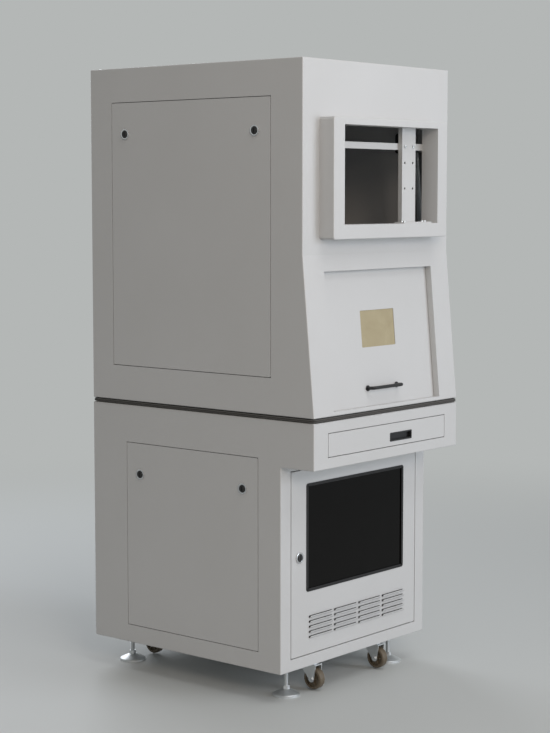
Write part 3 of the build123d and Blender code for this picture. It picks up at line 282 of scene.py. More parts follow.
def smokedAcrylic():
    # Cast acrylic, smoked almost black, 4 mm thick: polished, slightly wavy and faintly smeared
    settings = {
        "Base Color": linearColour(pane["colour"]), "IOR": pane["ior"], "Specular IOR Level": pane["specular"]
    }
    material, tree, shader, where = startMaterial("acrylic_smoked_black", settings)
    wave = addNode(
        tree, "ShaderNodeTexNoise", {"Scale": perMetre(pane["waveSize"]), "Detail": 1.0}, {"Vector": where}
    )
    patternSurface(tree, shader, wave.outputs["Fac"], {"depth": pane["waveDepth"]})
    smear = addNode(
        tree, "ShaderNodeTexNoise", {"Scale": perMetre(pane["smearSize"]), "Detail": 5.0}, {"Vector": where}
    )
    patternSurface(tree, shader, smear.outputs["Fac"], {"roughness": pane["roughness"]})
    return material


film = {
    "tones": ("#B6AA8A", "#9E906F"), "ior": 1.47, "coat": 0.4, "roughness": (0.28, 0.5),
    "patchSize": 0.06, "patchBend": 0.6, "wrinkleSize": 0.018, "wrinkleBend": 2.5, "wrinkleDepth": 0.0005,
}


def filmOnAcrylic():
    # Laser-safe amber acrylic still under its tan protective film: satin, with small wrinkles and trapped air
    settings = {"IOR": film["ior"], "Coat Weight": film["coat"]}
    material, tree, shader, where = startMaterial("acrylic_amber_under_film", settings)
    patch = addNode(
        tree, "ShaderNodeTexNoise",
        {"Scale": perMetre(film["patchSize"]), "Detail": 3.0, "Distortion": film["patchBend"]},
        {"Vector": where},
    )
    look = {"tones": film["tones"], "roughness": film["roughness"]}
    patternSurface(tree, shader, patch.outputs["Fac"], look)
    wrinkle = addNode(
        tree, "ShaderNodeTexNoise",
        {"Scale": perMetre(film["wrinkleSize"]), "Detail": 4.0, "Distortion": film["wrinkleBend"]},
        {"Vector": where},
    )
    patternSurface(tree, shader, wrinkle.outputs["Fac"], {"depth": film["wrinkleDepth"]})
    return material


def mottled(name, tones, roughness, grain, depth):
    # A moulded, cast or enamelled surface: two close tones, an uneven gloss and a fine grain
    material, tree, shader, where = startMaterial(name, {"IOR": 1.5})
    texture = addNode(
        tree, "ShaderNodeTexNoise", {"Scale": perMetre(grain), "Detail": 4.0}, {"Vector": where}
    )
    look = {"tones": tones, "roughness": roughness, "depth": depth}
    patternSurface(tree, shader, texture.outputs["Fac"], look)
    return material


milling = {
    "tones": ("#C9CBCD", "#BBBDBF"), "roughness": (0.30, 0.42), "depth": 0.00004,
    "lineSize": 0.006,          # real cutter lines are near 0.2 mm apart, drawn coarser so that they show
    "lineBend": 1.5,
}


def milledAluminium():
    # Fly-cut and clear-anodised aluminium: fine parallel cutter lines and a satin sheen
    material, tree, shader, where = startMaterial("aluminium_milled_anodised", {"Metallic": 1.0})
    scale = perMetre(milling["lineSize"])
    lines = addNode(
        tree, "ShaderNodeTexWave",
        {"Scale": scale, "Distortion": milling["lineBend"], "Detail": 3.0, "wave_type": "BANDS"},
        {"Vector": where},
    )
    patternSurface(tree, shader, lines.outputs["Fac"], milling)
    return material


coating = {
    "tones": ("#1E1430", "#1F4A3C"),        # painted reflection of the coating: violet seen straight on, green towards the rim
    "ior": 1.6, "roughness": 0.03, "coat": 1.0, "coatRoughness": 0.02, "blend": 0.35,
}


def coatedGlass():
    # Anti-reflection coated lens glass, seen as a dark violet-green mirror: the coating's coloured reflection is
    # painted into the base colour by the angle to the camera
    settings = {
        "Roughness": coating["roughness"], "IOR": coating["ior"], "Coat Weight": coating["coat"],
        "Coat Roughness": coating["coatRoughness"],
    }
    material, tree, shader = startMaterial("lens_glass_coated", settings)[:3]
    # painted reflection: the base colour turns from violet to green as the glass is seen more edgewise
    paintedReflection = addNode(tree, "ShaderNodeLayerWeight", {"Blend": coating["blend"]})
    patternSurface(tree, shader, paintedReflection.outputs["Facing"], {"tones": coating["tones"]})
    return material


def jointCalled(name):
    return next(joint for joint in frame["joints"] if joint["name"] == name)


slopeUp = Vector(jointCalled("chamber_door_slide")["axis"]).normalized()
slopeOut = right.cross(slopeUp)
if slopeOut.y > 0:
    slopeOut = -slopeOut

finishes = {
    "cabinet_paint": powderCoat(),
    "seam_rubber": extrudedRubber("rubber_extruded_greyed", ("#4A4846", "#565451")),
    "bright_zinc": platedSteel(
        "zinc_plate_bright", ("#E6E8E9", "#D3D6D8"), roughness=(0.36, 0.54), grain=0.004
    ),
    "dark_pane": smokedAcrylic(),
    "window_film": filmOnAcrylic(),
    "black_metal": mottled(     # handle, locks, laser source and scan head: a soft highlight on near black
        "steel_satin_black", ("#1C1C1D", "#232324"), roughness=(0.32, 0.45), grain=0.002, depth=0.00003
    ),
    "black_plastic": mottled(   # pull, fan, inlet and handwheel: a dull moulded black with a fine texture
        "nylon_moulded_black", ("#1B1B1C", "#222223"), roughness=(0.45, 0.58), grain=0.0015, depth=0.00005
    ),
    "rocker_red": mottled(      # a glossy clear red
        "polycarbonate_red", ("#B3261E", "#A8211A"), roughness=(0.18, 0.26), grain=0.02, depth=0.00002
    ),
    "wheel_nylon": mottled(     # a waxy brown, a little blotched
        "nylon_cast_brown", ("#6C604F", "#5D5344"), roughness=(0.38, 0.52), grain=0.01, depth=0.0001
    ),
    "milled_aluminium": milledAluminium(),
    "screw_steel": platedSteel("steel_ground", ("#A9AAAC", "#8F9092"), roughness=(0.22, 0.34), grain=0.003),
    "computer_steel": mottled(  # a satin mid grey with a slight peel
        "stove_enamel_grey", ("#8D9092", "#858889"), roughness=(0.42, 0.52), grain=0.008, depth=0.00008
    ),
}
chrome = platedSteel("chrome_plate", ("#E3E4E5", "#D5D6D8"), roughness=(0.10, 0.18), grain=0.01)
blackRubber = extrudedRubber("rubber_extruded_black", ("#121212", "#1B1A1A"))
lensGlass = coatedGlass()

slotOf = {part["node"]: part["material_slot"] for part in frame["record"]["subparts"]}
for nodeName, node in nodes.items():
    for materialSlot in node.material_slots:
        materialSlot.material = finishes[slotOf[nodeName]]
print("finishes are on", len(nodes), "nodes")

# Camera, lamps and floor

cameraPlace = {
    "at": (-4.151, -3.474, 1.45),
    "towards": (0.0, 0.0, 0.93),
    "lens": 87.0,
    "film": 36.0,
}
bpy.ops.object.camera_add(location=cameraPlace["at"])
camera = bpy.context.object
camera.name = "photo_camera"
towards = Vector(cameraPlace["towards"]) - Vector(cameraPlace["at"])
camera.rotation_euler = towards.to_track_quat("-Z", "Y").to_euler()
camera.data.sensor_width = cameraPlace["film"]
camera.data.lens = cameraPlace["lens"]
bpy.context.scene.camera = camera
bpy.context.scene.view_settings.view_transform = "Standard"

lamps = {
    "key": {"at": (2.6, -7.0, 2.1), "size": 3.4, "power": 212, "colour": "#EDF4FF"},
    "fill": {"at": (-4.2, -5.9, 3.8), "size": 2.0, "power": 106, "colour": "#FFEEDD"},
    "top": {"at": (-0.3, -2.0, 4.2), "size": 2.4, "power": 42, "colour": "#FFFFFF"},
    "back": {"at": (1.6, 3.6, 2.8), "size": 2.4, "power": 60, "colour": "#F4F8FF"},
}
lampsAimAt = Vector((0, 0, 0.9))
for name, lamp in lamps.items():
    bpy.ops.object.light_add(type="AREA", location=lamp["at"])
    light = bpy.context.object
    light.name = name + "_lamp"
    light.data.size = lamp["size"]
    light.data.energy = lamp["power"]
    light.data.color = linearColour(lamp["colour"])[:3]
    aim = lampsAimAt - light.location
    light.rotation_euler = aim.to_track_quat("-Z", "Y").to_euler()


room = {
    "colour": "#B4B7B6", "ambient": 0.28,
    "floorColour": "#C8CBCA", "floorRoughness": 0.6, "floorSize": 60,
    "fadeFrom": 1.3, "fadeTo": 4.6,     # metres from the middle, over which the floor turns to background
}


def plainRoom():
    # The background shows its own colour in view, in gloss and through glass, and lights the object evenly
    world = bpy.data.worlds.new("studio")
    bpy.context.scene.world = world
    world.use_nodes = True
    tree = world.node_tree
    tree.nodes.clear()
    output = addNode(tree, "ShaderNodeOutputWorld", {})
    rays = addNode(tree, "ShaderNodeLightPath", {})
    seen = addNode(
        tree, "ShaderNodeMath", {"operation": "MAXIMUM"},
        {0: rays.outputs["Is Camera Ray"], 1: rays.outputs["Is Glossy Ray"]},
    )
    seen = addNode(
        tree, "ShaderNodeMath", {"operation": "MAXIMUM"},
        {0: seen.outputs[0], 1: rays.outputs["Is Transmission Ray"]},
    )
    light = addNode(
        tree, "ShaderNodeBackground", {"Color": linearColour("#FFFFFF"), "Strength": room["ambient"]}
    )
    shown = addNode(tree, "ShaderNodeBackground", {"Color": linearColour(room["colour"]), "Strength": 1.0})
    addNode(
        tree, "ShaderNodeMixShader", {}, {0: seen.outputs[0], 1: light.outputs[0], 2: shown.outputs[0]},
        {0: output.inputs["Surface"]},
    )


def studioFloor():
    # Matt pale floor that fades into the background, so that no horizon shows
    bpy.ops.mesh.primitive_plane_add(size=room["floorSize"], location=(0, 0, 0))
    floor = bpy.context.object
    floor.name = "studio_floor"
    settings = {"Roughness": room["floorRoughness"], "Base Color": linearColour(room["floorColour"])}
    material, tree, shader, where = startMaterial("floor_matt_pale_grey", settings)
    away = addNode(tree, "ShaderNodeVectorMath", {"operation": "LENGTH"}, {0: where})
    rays = addNode(tree, "ShaderNodeLightPath", {})
    fade = addNode(
        tree, "ShaderNodeMapRange",
        {"From Min": room["fadeFrom"], "From Max": room["fadeTo"], "interpolation_type": "SMOOTHSTEP"},
        {"Value": away.outputs["Value"]},
    )
    shown = addNode(
        tree, "ShaderNodeMath", {"operation": "MULTIPLY"},
        {0: fade.outputs["Result"], 1: rays.outputs["Is Camera Ray"]},
    )
    glow = addNode(tree, "ShaderNodeEmission", {"Color": linearColour(room["colour"]), "Strength": 1.0})
    addNode(
        tree, "ShaderNodeMixShader", {}, {0: shown.outputs[0], 1: shader.outputs[0], 2: glow.outputs[0]},
        {0: tree.nodes["Material Output"].inputs["Surface"]},
    )
    floor.data.materials.append(material)


plainRoom()
studioFloor()
print("camera, lamps and floor are set")

# Basic shapes that several pieces start from


def turnedRing(inner, outer, height, edge, steps=48):
    # A rectangular section with eased corners, spun round the Z axis; its foot is at zero
    middle = ((inner + outer) / 2, 0, height / 2)
    bpy.ops.mesh.primitive_plane_add(size=1, location=middle, rotation=(math.pi / 2, 0, 0))
    ring = bpy.context.object
    ring.scale = (outer - inner, height, 1)
    applyPlace(ring)
    editPiece(ring, "VERT")
    bpy.ops.mesh.select_all(action="SELECT")
    bpy.ops.mesh.bevel(offset=edge, segments=2, affect="VERTICES")
    bpy.ops.mesh.select_all(action="SELECT")
    bpy.ops.mesh.delete(type="ONLY_FACE")
    bpy.ops.mesh.select_all(action="SELECT")
    bpy.ops.mesh.spin(steps=steps, angle=2 * math.pi, center=(0, 0, 0), axis=(0, 0, 1))
    bpy.ops.object.mode_set(mode="OBJECT")
    cleanMesh(ring)
    return ring


def frameStrip(width, height, band, thickness, corner, edge):
    # A flat frame with round corners, lying on the XY plane and standing up by its thickness
    bpy.ops.mesh.primitive_plane_add(size=1)
    strip = bpy.context.object
    strip.scale = (width, height, 1)
    applyPlace(strip)
    editPiece(strip, "VERT")
    bpy.ops.mesh.select_all(action="SELECT")
    bpy.ops.mesh.bevel(offset=corner, segments=6, affect="VERTICES")
    bpy.ops.mesh.select_mode(type="FACE")
    bpy.ops.mesh.select_all(action="SELECT")
    bpy.ops.mesh.inset(thickness=band, use_even_offset=True)
    bpy.ops.mesh.delete(type="FACE")
    bpy.ops.mesh.select_all(action="SELECT")
    bpy.ops.mesh.extrude_region_move(TRANSFORM_OT_translate={"value": (0, 0, thickness)})
    bpy.ops.object.mode_set(mode="OBJECT")
    cleanMesh(strip)
    sharpEdges = {"limit_method": "ANGLE", "angle_limit": math.radians(40)}
    applyModifier(strip, "BEVEL", width=edge, segments=2, **sharpEdges)
    return strip


def capScrew(radius, height, socket, depth):
    # Round head with an eased top and a hexagon socket
    easedTop = radius * 0.22
    bpy.ops.mesh.primitive_cylinder_add(vertices=24, radius=radius, depth=height, location=(0, 0, height / 2))
    head = bpy.context.object
    applyPlace(head)
    editPiece(head, "FACE")
    pick(head, lambda face: face.normal.z > 0.9)
    bpy.ops.mesh.bevel(offset=easedTop, segments=3, affect="EDGES")
    bpy.ops.object.mode_set(mode="OBJECT")
    bpy.ops.mesh.primitive_cylinder_add(vertices=6, radius=socket, depth=2 * depth, location=(0, 0, height))
    cutter = bpy.context.object
    applyPlace(cutter)
    applyModifier(head, "BOOLEAN", object=cutter, operation="DIFFERENCE", solver="EXACT")
    bpy.data.objects.remove(cutter)
    cleanMesh(head)
    return head


def hexNut(across, height, hole, washer):
    # Hexagon nut with chamfered corners on a round washer face
    cornerRadius = across / 2 / math.cos(math.pi / 6)
    chamfer = across * 0.07
    washerRadius = across * 0.72
    washerEdge = washer * 0.25
    bpy.ops.mesh.primitive_cylinder_add(
        vertices=6, radius=cornerRadius, depth=height, location=(0, 0, height / 2 + washer)
    )
    nut = bpy.context.object
    applyPlace(nut)
    editPiece(nut, "EDGE")
    pick(nut, lambda edge: abs(edge.verts[0].co.z - edge.verts[1].co.z) < 1e-6, "edges")
    bpy.ops.mesh.bevel(offset=chamfer, segments=2, affect="EDGES")
    bpy.ops.object.mode_set(mode="OBJECT")
    cleanMesh(nut)
    bpy.ops.mesh.primitive_cylinder_add(
        vertices=32, radius=hole, depth=4 * height, location=(0, 0, height / 2)
    )
    cutter = bpy.context.object
    applyPlace(cutter)
    applyModifier(nut, "BOOLEAN", object=cutter, operation="DIFFERENCE", solver="EXACT")
    bpy.data.objects.remove(cutter)
    plate = turnedRing(hole, washerRadius, washer, washerEdge, steps=32)
    return joinAs("nut", [nut, plate])


# Rubber profile in the seam between the two cabinets: ribbed outside, hollow behind

seam = {"ribs": 3, "ribDepth": 0.0022, "wall": 0.012, "corner": 0.004}


def ribbedSeam():
    low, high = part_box("seam_strip")
    middle = (low + high) / 2
    bpy.ops.mesh.primitive_plane_add(size=1, location=(middle.x, middle.y, low.z))
    seal = bpy.context.object
    seal.scale = (high.x - low.x, high.y - low.y, 1)
    applyPlace(seal)
    editPiece(seal, "VERT")
    bpy.ops.mesh.select_all(action="SELECT")
    bpy.ops.mesh.bevel(offset=seam["corner"], segments=4, affect="VERTICES")
    bpy.ops.mesh.select_all(action="SELECT")
    bpy.ops.mesh.delete(type="ONLY_FACE")
    bpy.ops.mesh.select_mode(type="EDGE")
    bpy.ops.mesh.select_all(action="SELECT")
    step = (high.z - low.z) / (2 * seam["ribs"])
    pulledIn = 2 * seam["ribDepth"]
    narrow = (1 - pulledIn / (high.x - low.x), 1 - pulledIn / (high.y - low.y), 1)
    for turn in range(2 * seam["ribs"]):
        bpy.ops.mesh.extrude_region_move(TRANSFORM_OT_translate={"value": (0, 0, step)})
        scale = narrow if turn % 2 == 0 else tuple(1 / value for value in narrow)
        bpy.ops.transform.resize(value=scale, center_override=(middle.x, middle.y, 0))
    bpy.ops.object.mode_set(mode="OBJECT")
    cleanMesh(seal)
    applyModifier(seal, "SOLIDIFY", thickness=seam["wall"], offset=-1.0)
    cleanMesh(seal)
    seal.name = "seam_profile"
    finishPiece(seal, "seam_rubber", "cabinet", 50)
    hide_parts("seam_strip")


ribbedSeam()
print("seam profile is in")

# Bright rings round the quarter-turn locks

lockRing = {
    "inner": 0.0113, "outer": 0.0158, "height": 0.0024, "edge": 0.0007, "collar": 0.0015,
    "headHeight": 0.0055,       # the lock's head stands this much above its panel
}
lockSides = {"left": -right, "right": right}


def faceOfLock(node, outward):
    # Middle of the lock's head, brought back to the top of its collar
    head = nodes[node].data.vertices
    outermost = max(vertex.co.dot(outward) for vertex in head)
    flush = 0.0001      # what lies this near to the outermost point is the flat of the head
    rim = [vertex.co for vertex in head if vertex.co.dot(outward) > outermost - flush]
    spot = sum(rim, Vector()) / len(rim)
    return spot - outward * (spot.dot(outward) - outermost + lockRing["headHeight"] - lockRing["collar"])


ring = turnedRing(lockRing["inner"], lockRing["outer"], lockRing["height"], lockRing["edge"])
groups = []
for side, outward in lockSides.items():
    spots = [
        faceOfLock(f"lock_{side}_{level}_{end}", outward)
        for level in ("upper", "lower") for end in ("front", "rear")
    ]
    groups.append(copiesAt(ring, f"rings_{side}", spots, outward))
finishPiece(joinAs("panel_lock_rings", groups), "bright_zinc", "cabinet", material=chrome)
doorRing = copiesAt(ring, "door_lock_ring", [faceOfLock("lower_door_lock", front)], front)
finishPiece(doorRing, "bright_zinc", "lower_door", material=chrome)
bpy.data.objects.remove(ring)
print("lock rings are in")

# Rubber trim round the dark pane

paneTrim = {"lap": 0.012, "band": 0.009, "proud": 0.0016, "corner": 0.008, "edge": 0.0006}


def paneGasket():
    low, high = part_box("door_pane")
    width = high.x - low.x - 2 * paneTrim["lap"] + paneTrim["band"]
    height = high.z - low.z - 2 * paneTrim["lap"] + paneTrim["band"]
    gasket = frameStrip(
        width, height, paneTrim["band"], paneTrim["proud"], paneTrim["corner"], paneTrim["edge"]
    )
    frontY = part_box("lower_door_lock")[0].y + lockRing["headHeight"]
    standOn(gasket, Vector(((low.x + high.x) / 2, frontY, (low.z + high.z) / 2)), front)
    gasket.name = "pane_gasket"
    finishPiece(gasket, "seam_rubber", "lower_door", material=blackRubber)


paneGasket()
print("pane gasket is in")

# Threads on the levelling stems, and the nuts that lock them under the cabinet

stemThread = {"core": 0.006, "crest": 0.0068, "pitch": 0.00175, "foot": 0.031, "top": 0.133, "steps": 20}
lockNut = {"across": 0.019, "height": 0.007, "hole": 0.0063, "washer": 0.0016}


def threadRidge(core, crest, pitch, foot, top, steps):
    # One triangular thread ridge from the core to the crest, run up by a screw
    rise = crest - core
    halfWidth = pitch * 0.46
    bpy.ops.mesh.primitive_circle_add(vertices=3, radius=1, fill_type="NOTHING")
    ridge = bpy.context.object
    ridge.scale = (halfWidth, rise, 1)
    ridge.rotation_euler = (math.pi / 2, math.pi / 2, 0)
    applyPlace(ridge)
    reach = max(vertex.co.x for vertex in ridge.data.vertices)
    ridge.location = (crest - reach, 0, foot)
    applyPlace(ridge)
    turns = int((top - foot) / pitch)
    applyModifier(
        ridge, "SCREW", axis="Z", angle=2 * math.pi, screw_offset=pitch, iterations=turns,
        steps=steps, render_steps=steps, use_merge_vertices=True,
    )
    editPiece(ridge, "EDGE")
    bpy.ops.mesh.select_all(action="DESELECT")
    bpy.ops.mesh.select_non_manifold()
    bpy.ops.mesh.fill_holes(sides=0)
    bpy.ops.object.mode_set(mode="OBJECT")
    cleanMesh(ridge)
    return ridge


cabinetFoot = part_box("base_cabinet")[0].z
ridge = threadRidge(**stemThread)
nut = hexNut(**lockNut)
nutSpots = []
for corner in corners:
    spot = middleOf(f"foot_{corner}")
    screw = copiesAt(ridge, f"foot_thread_{corner}", [Vector((spot.x, spot.y, 0))], up)
    finishPiece(screw, "bright_zinc", f"foot_{corner}", 20)
    nutSpots.append(Vector((spot.x, spot.y, cabinetFoot)))
finishPiece(copiesAt(nut, "foot_lock_nuts", nutSpots, -up), "bright_zinc", "cabinet")
bpy.data.objects.remove(ridge)
bpy.data.objects.remove(nut)
print("feet are threaded")

# Castors: a pressed lip round each ball race, bearings in the wheels and bolts through the plates

raceLip = {"inner": 0.0246, "outer": 0.0272, "height": 0.0052, "edge": 0.0008}
wheelBearing = {"inner": 0.0046, "outer": 0.0092, "height": 0.0062, "edge": 0.0006, "steps": 32}
plateBolt = {"radius": 0.0046, "height": 0.0036, "socket": 0.0022, "depth": 0.0018}
castor = {"forkSheet": 0.003, "plate": 0.003, "boltX": 0.033, "boltY": 0.023}
lip = turnedRing(**raceLip)
bearing = turnedRing(**wheelBearing)
bolt = capScrew(**plateBolt)
boltSpots = []
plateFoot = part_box("castor_plates")[1].z - castor["plate"]
for corner in corners:
    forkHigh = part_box(f"castor_fork_{corner}")[1]
    wheel = middleOf(f"castor_wheel_{corner}")
    kingpin = Vector(jointCalled(f"castor_swivel_{corner}")["pos_m"])
    race = Vector((kingpin.x, kingpin.y, forkHigh.z - castor["forkSheet"]))
    raceRim = copiesAt(lip, f"castor_race_lip_{corner}", [race], up)
    finishPiece(raceRim, "bright_zinc", f"castor_fork_{corner}")
    wheelLow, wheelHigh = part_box(f"castor_wheel_{corner}")
    pair = [
        copiesAt(bearing, "bearing_in", [Vector((wheelLow.x, wheel.y, wheel.z))], right),
        copiesAt(bearing, "bearing_out", [Vector((wheelHigh.x, wheel.y, wheel.z))], -right),
    ]
    finishPiece(joinAs(f"castor_bearings_{corner}", pair), "screw_steel", f"castor_wheel_{corner}")
    for across in (-castor["boltX"], castor["boltX"]):
        for along in (-castor["boltY"], castor["boltY"]):
            boltSpots.append(Vector((kingpin.x + across, kingpin.y + along, plateFoot)))
finishPiece(copiesAt(bolt, "castor_plate_bolts", boltSpots, -up), "bright_zinc", "cabinet")
for spare in (lip, bearing, bolt):
    bpy.data.objects.remove(spare)
print("castors are dressed")

# Ribs moulded between the hub and the rim of each wheel

wheelRib = {"count": 6, "thickness": 0.0026, "from": 0.0092, "to": 0.0246, "depth": 0.0055, "edge": 0.0005}


def wheelRibs(corner):
    low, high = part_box(f"castor_wheel_{corner}")
    spot = (low + high) / 2
    middleRadius = (wheelRib["from"] + wheelRib["to"]) / 2
    ribs = []
    for face, inward in ((high.x, -1), (low.x, 1)):
        for turn in range(wheelRib["count"]):
            bpy.ops.mesh.primitive_cube_add(size=1)
            rib = bpy.context.object
            rib.scale = (wheelRib["depth"], wheelRib["to"] - wheelRib["from"], wheelRib["thickness"])
            applyPlace(rib)
            applyModifier(rib, "BEVEL", width=wheelRib["edge"], segments=2)
            rib.location = (0, middleRadius, 0)
            applyPlace(rib)
            rib.rotation_euler.x = 2 * math.pi * turn / wheelRib["count"]
            rib.location = (face + inward * (wheelRib["depth"] / 2 + wheelRib["edge"]), spot.y, spot.z)
            applyPlace(rib)
            ribs.append(rib)
    finishPiece(joinAs(f"castor_ribs_{corner}", ribs), "wheel_nylon", f"castor_wheel_{corner}")


for corner in corners:
    wheelRibs(corner)
print("wheels are ribbed")

# Foam strips on the stop that the lower door closes against: left, top and bottom

doorFoam = {"band": 0.012, "thickness": 0.0046, "flange": 0.020, "running": 0.0002, "edge": 0.0012}


def foamStrips():
    low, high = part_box("lower_door")
    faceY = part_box("lower_door_lock")[0].y + lockRing["headHeight"]
    middleY = faceY + doorFoam["flange"] + doorFoam["running"] + doorFoam["thickness"] / 2
    middle = (low + high) / 2
    half = doorFoam["band"] / 2
    upright = (doorFoam["band"], high.z - low.z)
    level = (high.x - low.x - doorFoam["band"], doorFoam["band"])
    stretches = [
        ((low.x + half, middleY, middle.z), upright),
        ((middle.x + half, middleY, high.z - half), level),
        ((middle.x + half, middleY, low.z + half), level),
    ]
    strips = []
    for spot, size in stretches:
        bpy.ops.mesh.primitive_cube_add(size=1, location=spot)
        strip = bpy.context.object
        strip.scale = (size[0], doorFoam["thickness"], size[1])
        applyPlace(strip)
        applyModifier(strip, "BEVEL", width=doorFoam["edge"], segments=3)
        strips.append(strip)
    finishPiece(joinAs("lower_door_foam", strips), "seam_rubber", "cabinet", material=blackRubber)


foamStrips()
print("door foam is in")

# Feet of the door handle

handleFoot = {"inner": 0.0049, "outer": 0.0085, "height": 0.0035, "edge": 0.001, "steps": 32}
handleBar = 0.005       # radius of the handle's round bar


def handleFlanges():
    low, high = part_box("door_handle")
    doorFace = min(vertex.co.dot(slopeUp) for vertex in nodes["door_handle"].data.vertices)
    flange = turnedRing(**handleFoot)
    foot = min(vertex.co.dot(slopeOut) for vertex in nodes["door_handle"].data.vertices)
    upward = doorFace + handleBar
    spots = [
        slopeUp * upward + slopeOut * foot + right * x
        for x in (low.x + handleBar, high.x - handleBar)
    ]
    flanges = copiesAt(flange, "handle_flanges", spots, slopeOut)
    bpy.data.objects.remove(flange)
    finishPiece(flanges, "black_metal", "chamber_door")


handleFlanges()
print("handle is seated")

# Screws of the rear panels and the fan

rearScrew = {"radius": 0.0048, "height": 0.0026, "socket": 0.0017, "depth": 0.0014}
rearScrews = {
    "inset": 0.009, "across": 3, "upperRows": 6, "lowerRows": 5,
    "fan": 0.0525,      # the fan's four screws from its middle, across and up
}


def rimSpots(node, rows):
    low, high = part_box(node)
    low = low + Vector((rearScrews["inset"], 0, rearScrews["inset"]))
    high = high - Vector((rearScrews["inset"], 0, rearScrews["inset"]))
    spots = []
    for row in range(rows):
        z = low.z + (high.z - low.z) * row / (rows - 1)
        spots += [Vector((low.x, high.y, z)), Vector((high.x, high.y, z))]
    for column in range(1, rearScrews["across"]):
        x = low.x + (high.x - low.x) * column / rearScrews["across"]
        spots += [Vector((x, high.y, low.z)), Vector((x, high.y, high.z))]
    return spots


screwHead = capScrew(**rearScrew)
panelSpots = rimSpots("rear_upper_panel", rearScrews["upperRows"])
panelSpots += rimSpots("rear_lower_panel", rearScrews["lowerRows"])
fanSpot = middleOf("fan_frame")
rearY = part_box("rear_upper_panel")[1].y
for across in (-rearScrews["fan"], rearScrews["fan"]):
    for upwards in (-rearScrews["fan"], rearScrews["fan"]):
        panelSpots.append(Vector((fanSpot.x + across, rearY, fanSpot.z + upwards)))
finishPiece(copiesAt(screwHead, "rear_panel_screws", panelSpots, rear), "bright_zinc", "cabinet")
bpy.data.objects.remove(screwHead)
print("rear screws are in")

# Bolts of the monitor post, the lift column, the carriage and the scan head

chamberBolt = {"radius": 0.0065, "height": 0.006, "socket": 0.0034, "depth": 0.003}
smallBolt = {"radius": 0.0042, "height": 0.0038, "socket": 0.0021, "depth": 0.0018}
columnFoot = {"height": 0.015, "backset": 0.006, "across": 0.092, "along": 0.067}
carriageBolts = {"across": 0.038, "along": 0.062}
headBolts = {"top": 0.048, "across": 0.048, "along": 0.040}
postFoot = {"thickness": 0.004, "depth": 0.034, "boltsAt": (-0.058, -0.045, 0.045, 0.058), "barBolts": 0.020}


def gridSpots(middle, acrossHalf, alongHalf, across, along):
    steps = [(a, b) for a in (-acrossHalf, acrossHalf) for b in (-alongHalf, alongHalf)]
    return [middle + across * a + along * b for a, b in steps]


bigHead = capScrew(**chamberBolt)
smallHead = capScrew(**smallBolt)


def columnBolts():
    low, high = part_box("lift_column")
    spot = Vector((0, (low.y + high.y) / 2 + columnFoot["backset"], low.z + columnFoot["height"]))
    spots = gridSpots(spot, columnFoot["across"], columnFoot["along"], right, rear)
    finishPiece(copiesAt(bigHead, "column_foot_bolts", spots, up), "screw_steel", "cabinet")


def boltsOfCarriage():
    low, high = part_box("lift_carriage")
    spot = Vector((0, low.y, (low.z + high.z) / 2))
    spots = gridSpots(spot, carriageBolts["across"], carriageBolts["along"], right, up)
    finishPiece(copiesAt(bigHead, "carriage_bolts", spots, front), "screw_steel", "lift")


def boltsOfHead():
    low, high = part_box("scan_head")
    top = Vector((0, (low.y + high.y) / 2, high.z))
    face = Vector((0, low.y, (low.z + high.z) / 2))
    topSpots = gridSpots(top, headBolts["top"], headBolts["top"], right, rear)
    frontSpots = gridSpots(face, headBolts["across"], headBolts["along"], right, up)
    heads = [
        copiesAt(smallHead, "head_top_bolts", topSpots, up),
        copiesAt(smallHead, "head_front_bolts", frontSpots, front),
    ]
    finishPiece(joinAs("scan_head_screws", heads), "screw_steel", "lift")


def boltsOfPost():
    low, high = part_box("monitor_post")
    barLow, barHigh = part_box("monitor_crossbar")
    foot = Vector(((low.x + high.x) / 2, low.y + postFoot["depth"] / 2, low.z + postFoot["thickness"]))
    web = Vector((foot.x, low.y + postFoot["depth"], (barLow.z + barHigh.z) / 2))
    footSpots = [foot + right * x for x in postFoot["boltsAt"]]
    barSpots = [web - right * postFoot["barBolts"], web + right * postFoot["barBolts"]]
    heads = [
        copiesAt(smallHead, "post_foot_heads", footSpots, up),
        copiesAt(smallHead, "post_bar_heads", barSpots, front),
    ]
    finishPiece(joinAs("post_bolts", heads), "bright_zinc", "cabinet")


columnBolts()
boltsOfCarriage()
boltsOfHead()
boltsOfPost()
bpy.data.objects.remove(bigHead)
bpy.data.objects.remove(smallHead)
print("chamber bolts are in")

# Field lens: a knurled grip ring round the barrel, and the coated glass in its mouth

lens = {
    "ringInner": 0.0345, "ringOuter": 0.0435, "ringHeight": 0.010, "ringRise": 0.020, "edge": 0.0008,
    "knurls": 60, "knurlDepth": 0.0006, "glass": 0.0338, "glassRise": 0.0064, "crown": 0.0036,
}


def knurledLensRing():
    low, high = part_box("field_lens")
    ring = turnedRing(lens["ringInner"], lens["ringOuter"], lens["ringHeight"], lens["edge"], lens["knurls"])
    editPiece(ring, "FACE")
    outerFaces = 0.9 * lens["ringOuter"]
    pick(ring, lambda face: abs(face.normal.z) < 0.1 and face.calc_center_median().xy.length > outerFaces)
    bpy.ops.mesh.inset(thickness=lens["edge"], use_individual=True, depth=-lens["knurlDepth"])
    bpy.ops.object.mode_set(mode="OBJECT")
    standOn(ring, Vector(((low.x + high.x) / 2, (low.y + high.y) / 2, low.z + lens["ringRise"])), up)
    ring.name = "lens_grip_ring"
    finishPiece(ring, "black_metal", "lift")


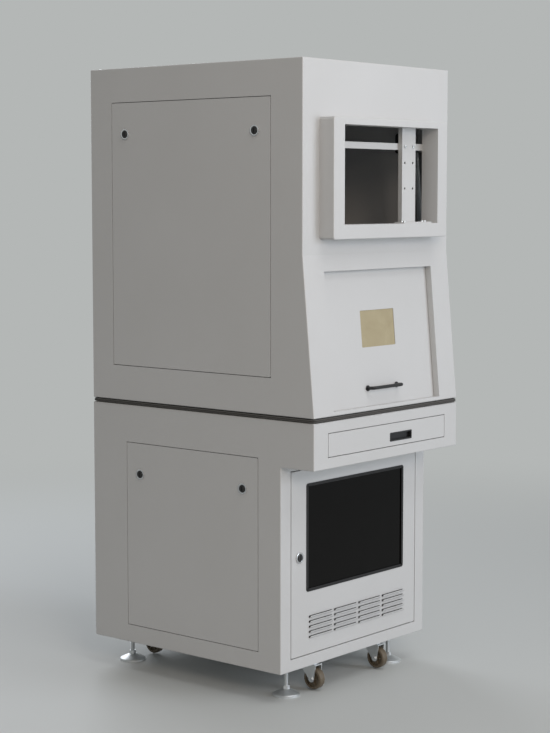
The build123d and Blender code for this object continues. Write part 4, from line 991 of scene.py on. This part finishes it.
def domedGlass():
    # A slice of a large sphere: flat above, domed below
    low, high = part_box("field_lens")
    curve = (lens["glass"] ** 2 + lens["crown"] ** 2) / (2 * lens["crown"])
    rim = low.z + lens["glassRise"]
    middle = ((low.x + high.x) / 2, (low.y + high.y) / 2, rim - lens["crown"] + curve)
    bpy.ops.mesh.primitive_uv_sphere_add(segments=48, ring_count=120, radius=curve, location=middle)
    glass = bpy.context.object
    applyPlace(glass)
    editPiece(glass, "FACE")
    bpy.ops.mesh.select_all(action="SELECT")
    bpy.ops.mesh.bisect(plane_co=(0, 0, rim), plane_no=(0, 0, 1), use_fill=True, clear_outer=True)
    bpy.ops.object.mode_set(mode="OBJECT")
    cleanMesh(glass)
    glass.name = "lens_glass"
    finishPiece(glass, "dark_pane", "lift", material=lensGlass)


knurledLensRing()
domedGlass()
print("lens is glazed")

# Lift screw: a rolled thread between its two plain journals

screwThread = {"core": 0.0060, "crest": 0.0070, "pitch": 0.005, "steps": 20}
screwJournal = 0.026        # length of each plain end


def threadedLiftScrew():
    low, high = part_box("lift_screw")
    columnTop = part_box("lift_column")[1].z
    spot = Vector(((low.x + high.x) / 2, (low.y + high.y) / 2, 0))
    threadFoot = low.z + screwJournal
    threadTop = columnTop - screwJournal
    stretches = [
        (low.z, threadFoot, screwThread["crest"]),
        (threadFoot, threadTop, screwThread["core"]),
        (threadTop, high.z, screwThread["crest"]),
    ]
    rods = []
    for foot, top, radius in stretches:
        bpy.ops.mesh.primitive_cylinder_add(
            vertices=32, radius=radius, depth=top - foot, location=(spot.x, spot.y, (foot + top) / 2)
        )
        rod = bpy.context.object
        applyPlace(rod)
        rods.append(rod)
    ridge = threadRidge(**screwThread, foot=threadFoot, top=threadTop - screwThread["pitch"])
    standOn(ridge, spot, up)
    screw = joinAs("lift_screw_threaded", rods + [ridge])
    finishPiece(screw, "screw_steel", "lift_screw", 30)
    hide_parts("lift_screw")


threadedLiftScrew()
print("lift screw is threaded")

# Small screws in the corners of the mains inlet's flange

inletScrew = {"radius": 0.0019, "height": 0.0009, "socket": 0.0008, "depth": 0.0005}
inletFlange = {"inset": 0.0026, "rocker": 0.003}    # the rocker's frame stands this much above the flange


def inletScrews():
    low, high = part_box("mains_inlet")
    spot = (low + high) / 2
    flangeY = high.y - inletFlange["rocker"]
    head = capScrew(**inletScrew)
    across = (high.x - low.x) / 2 - inletFlange["inset"]
    along = (high.z - low.z) / 2 - inletFlange["inset"]
    heads = copiesAt(
        head, "inlet_screws", gridSpots(Vector((spot.x, flangeY, spot.z)), across, along, right, up), rear
    )
    bpy.data.objects.remove(head)
    finishPiece(heads, "bright_zinc", "cabinet")


inletScrews()
print("inlet is screwed on")
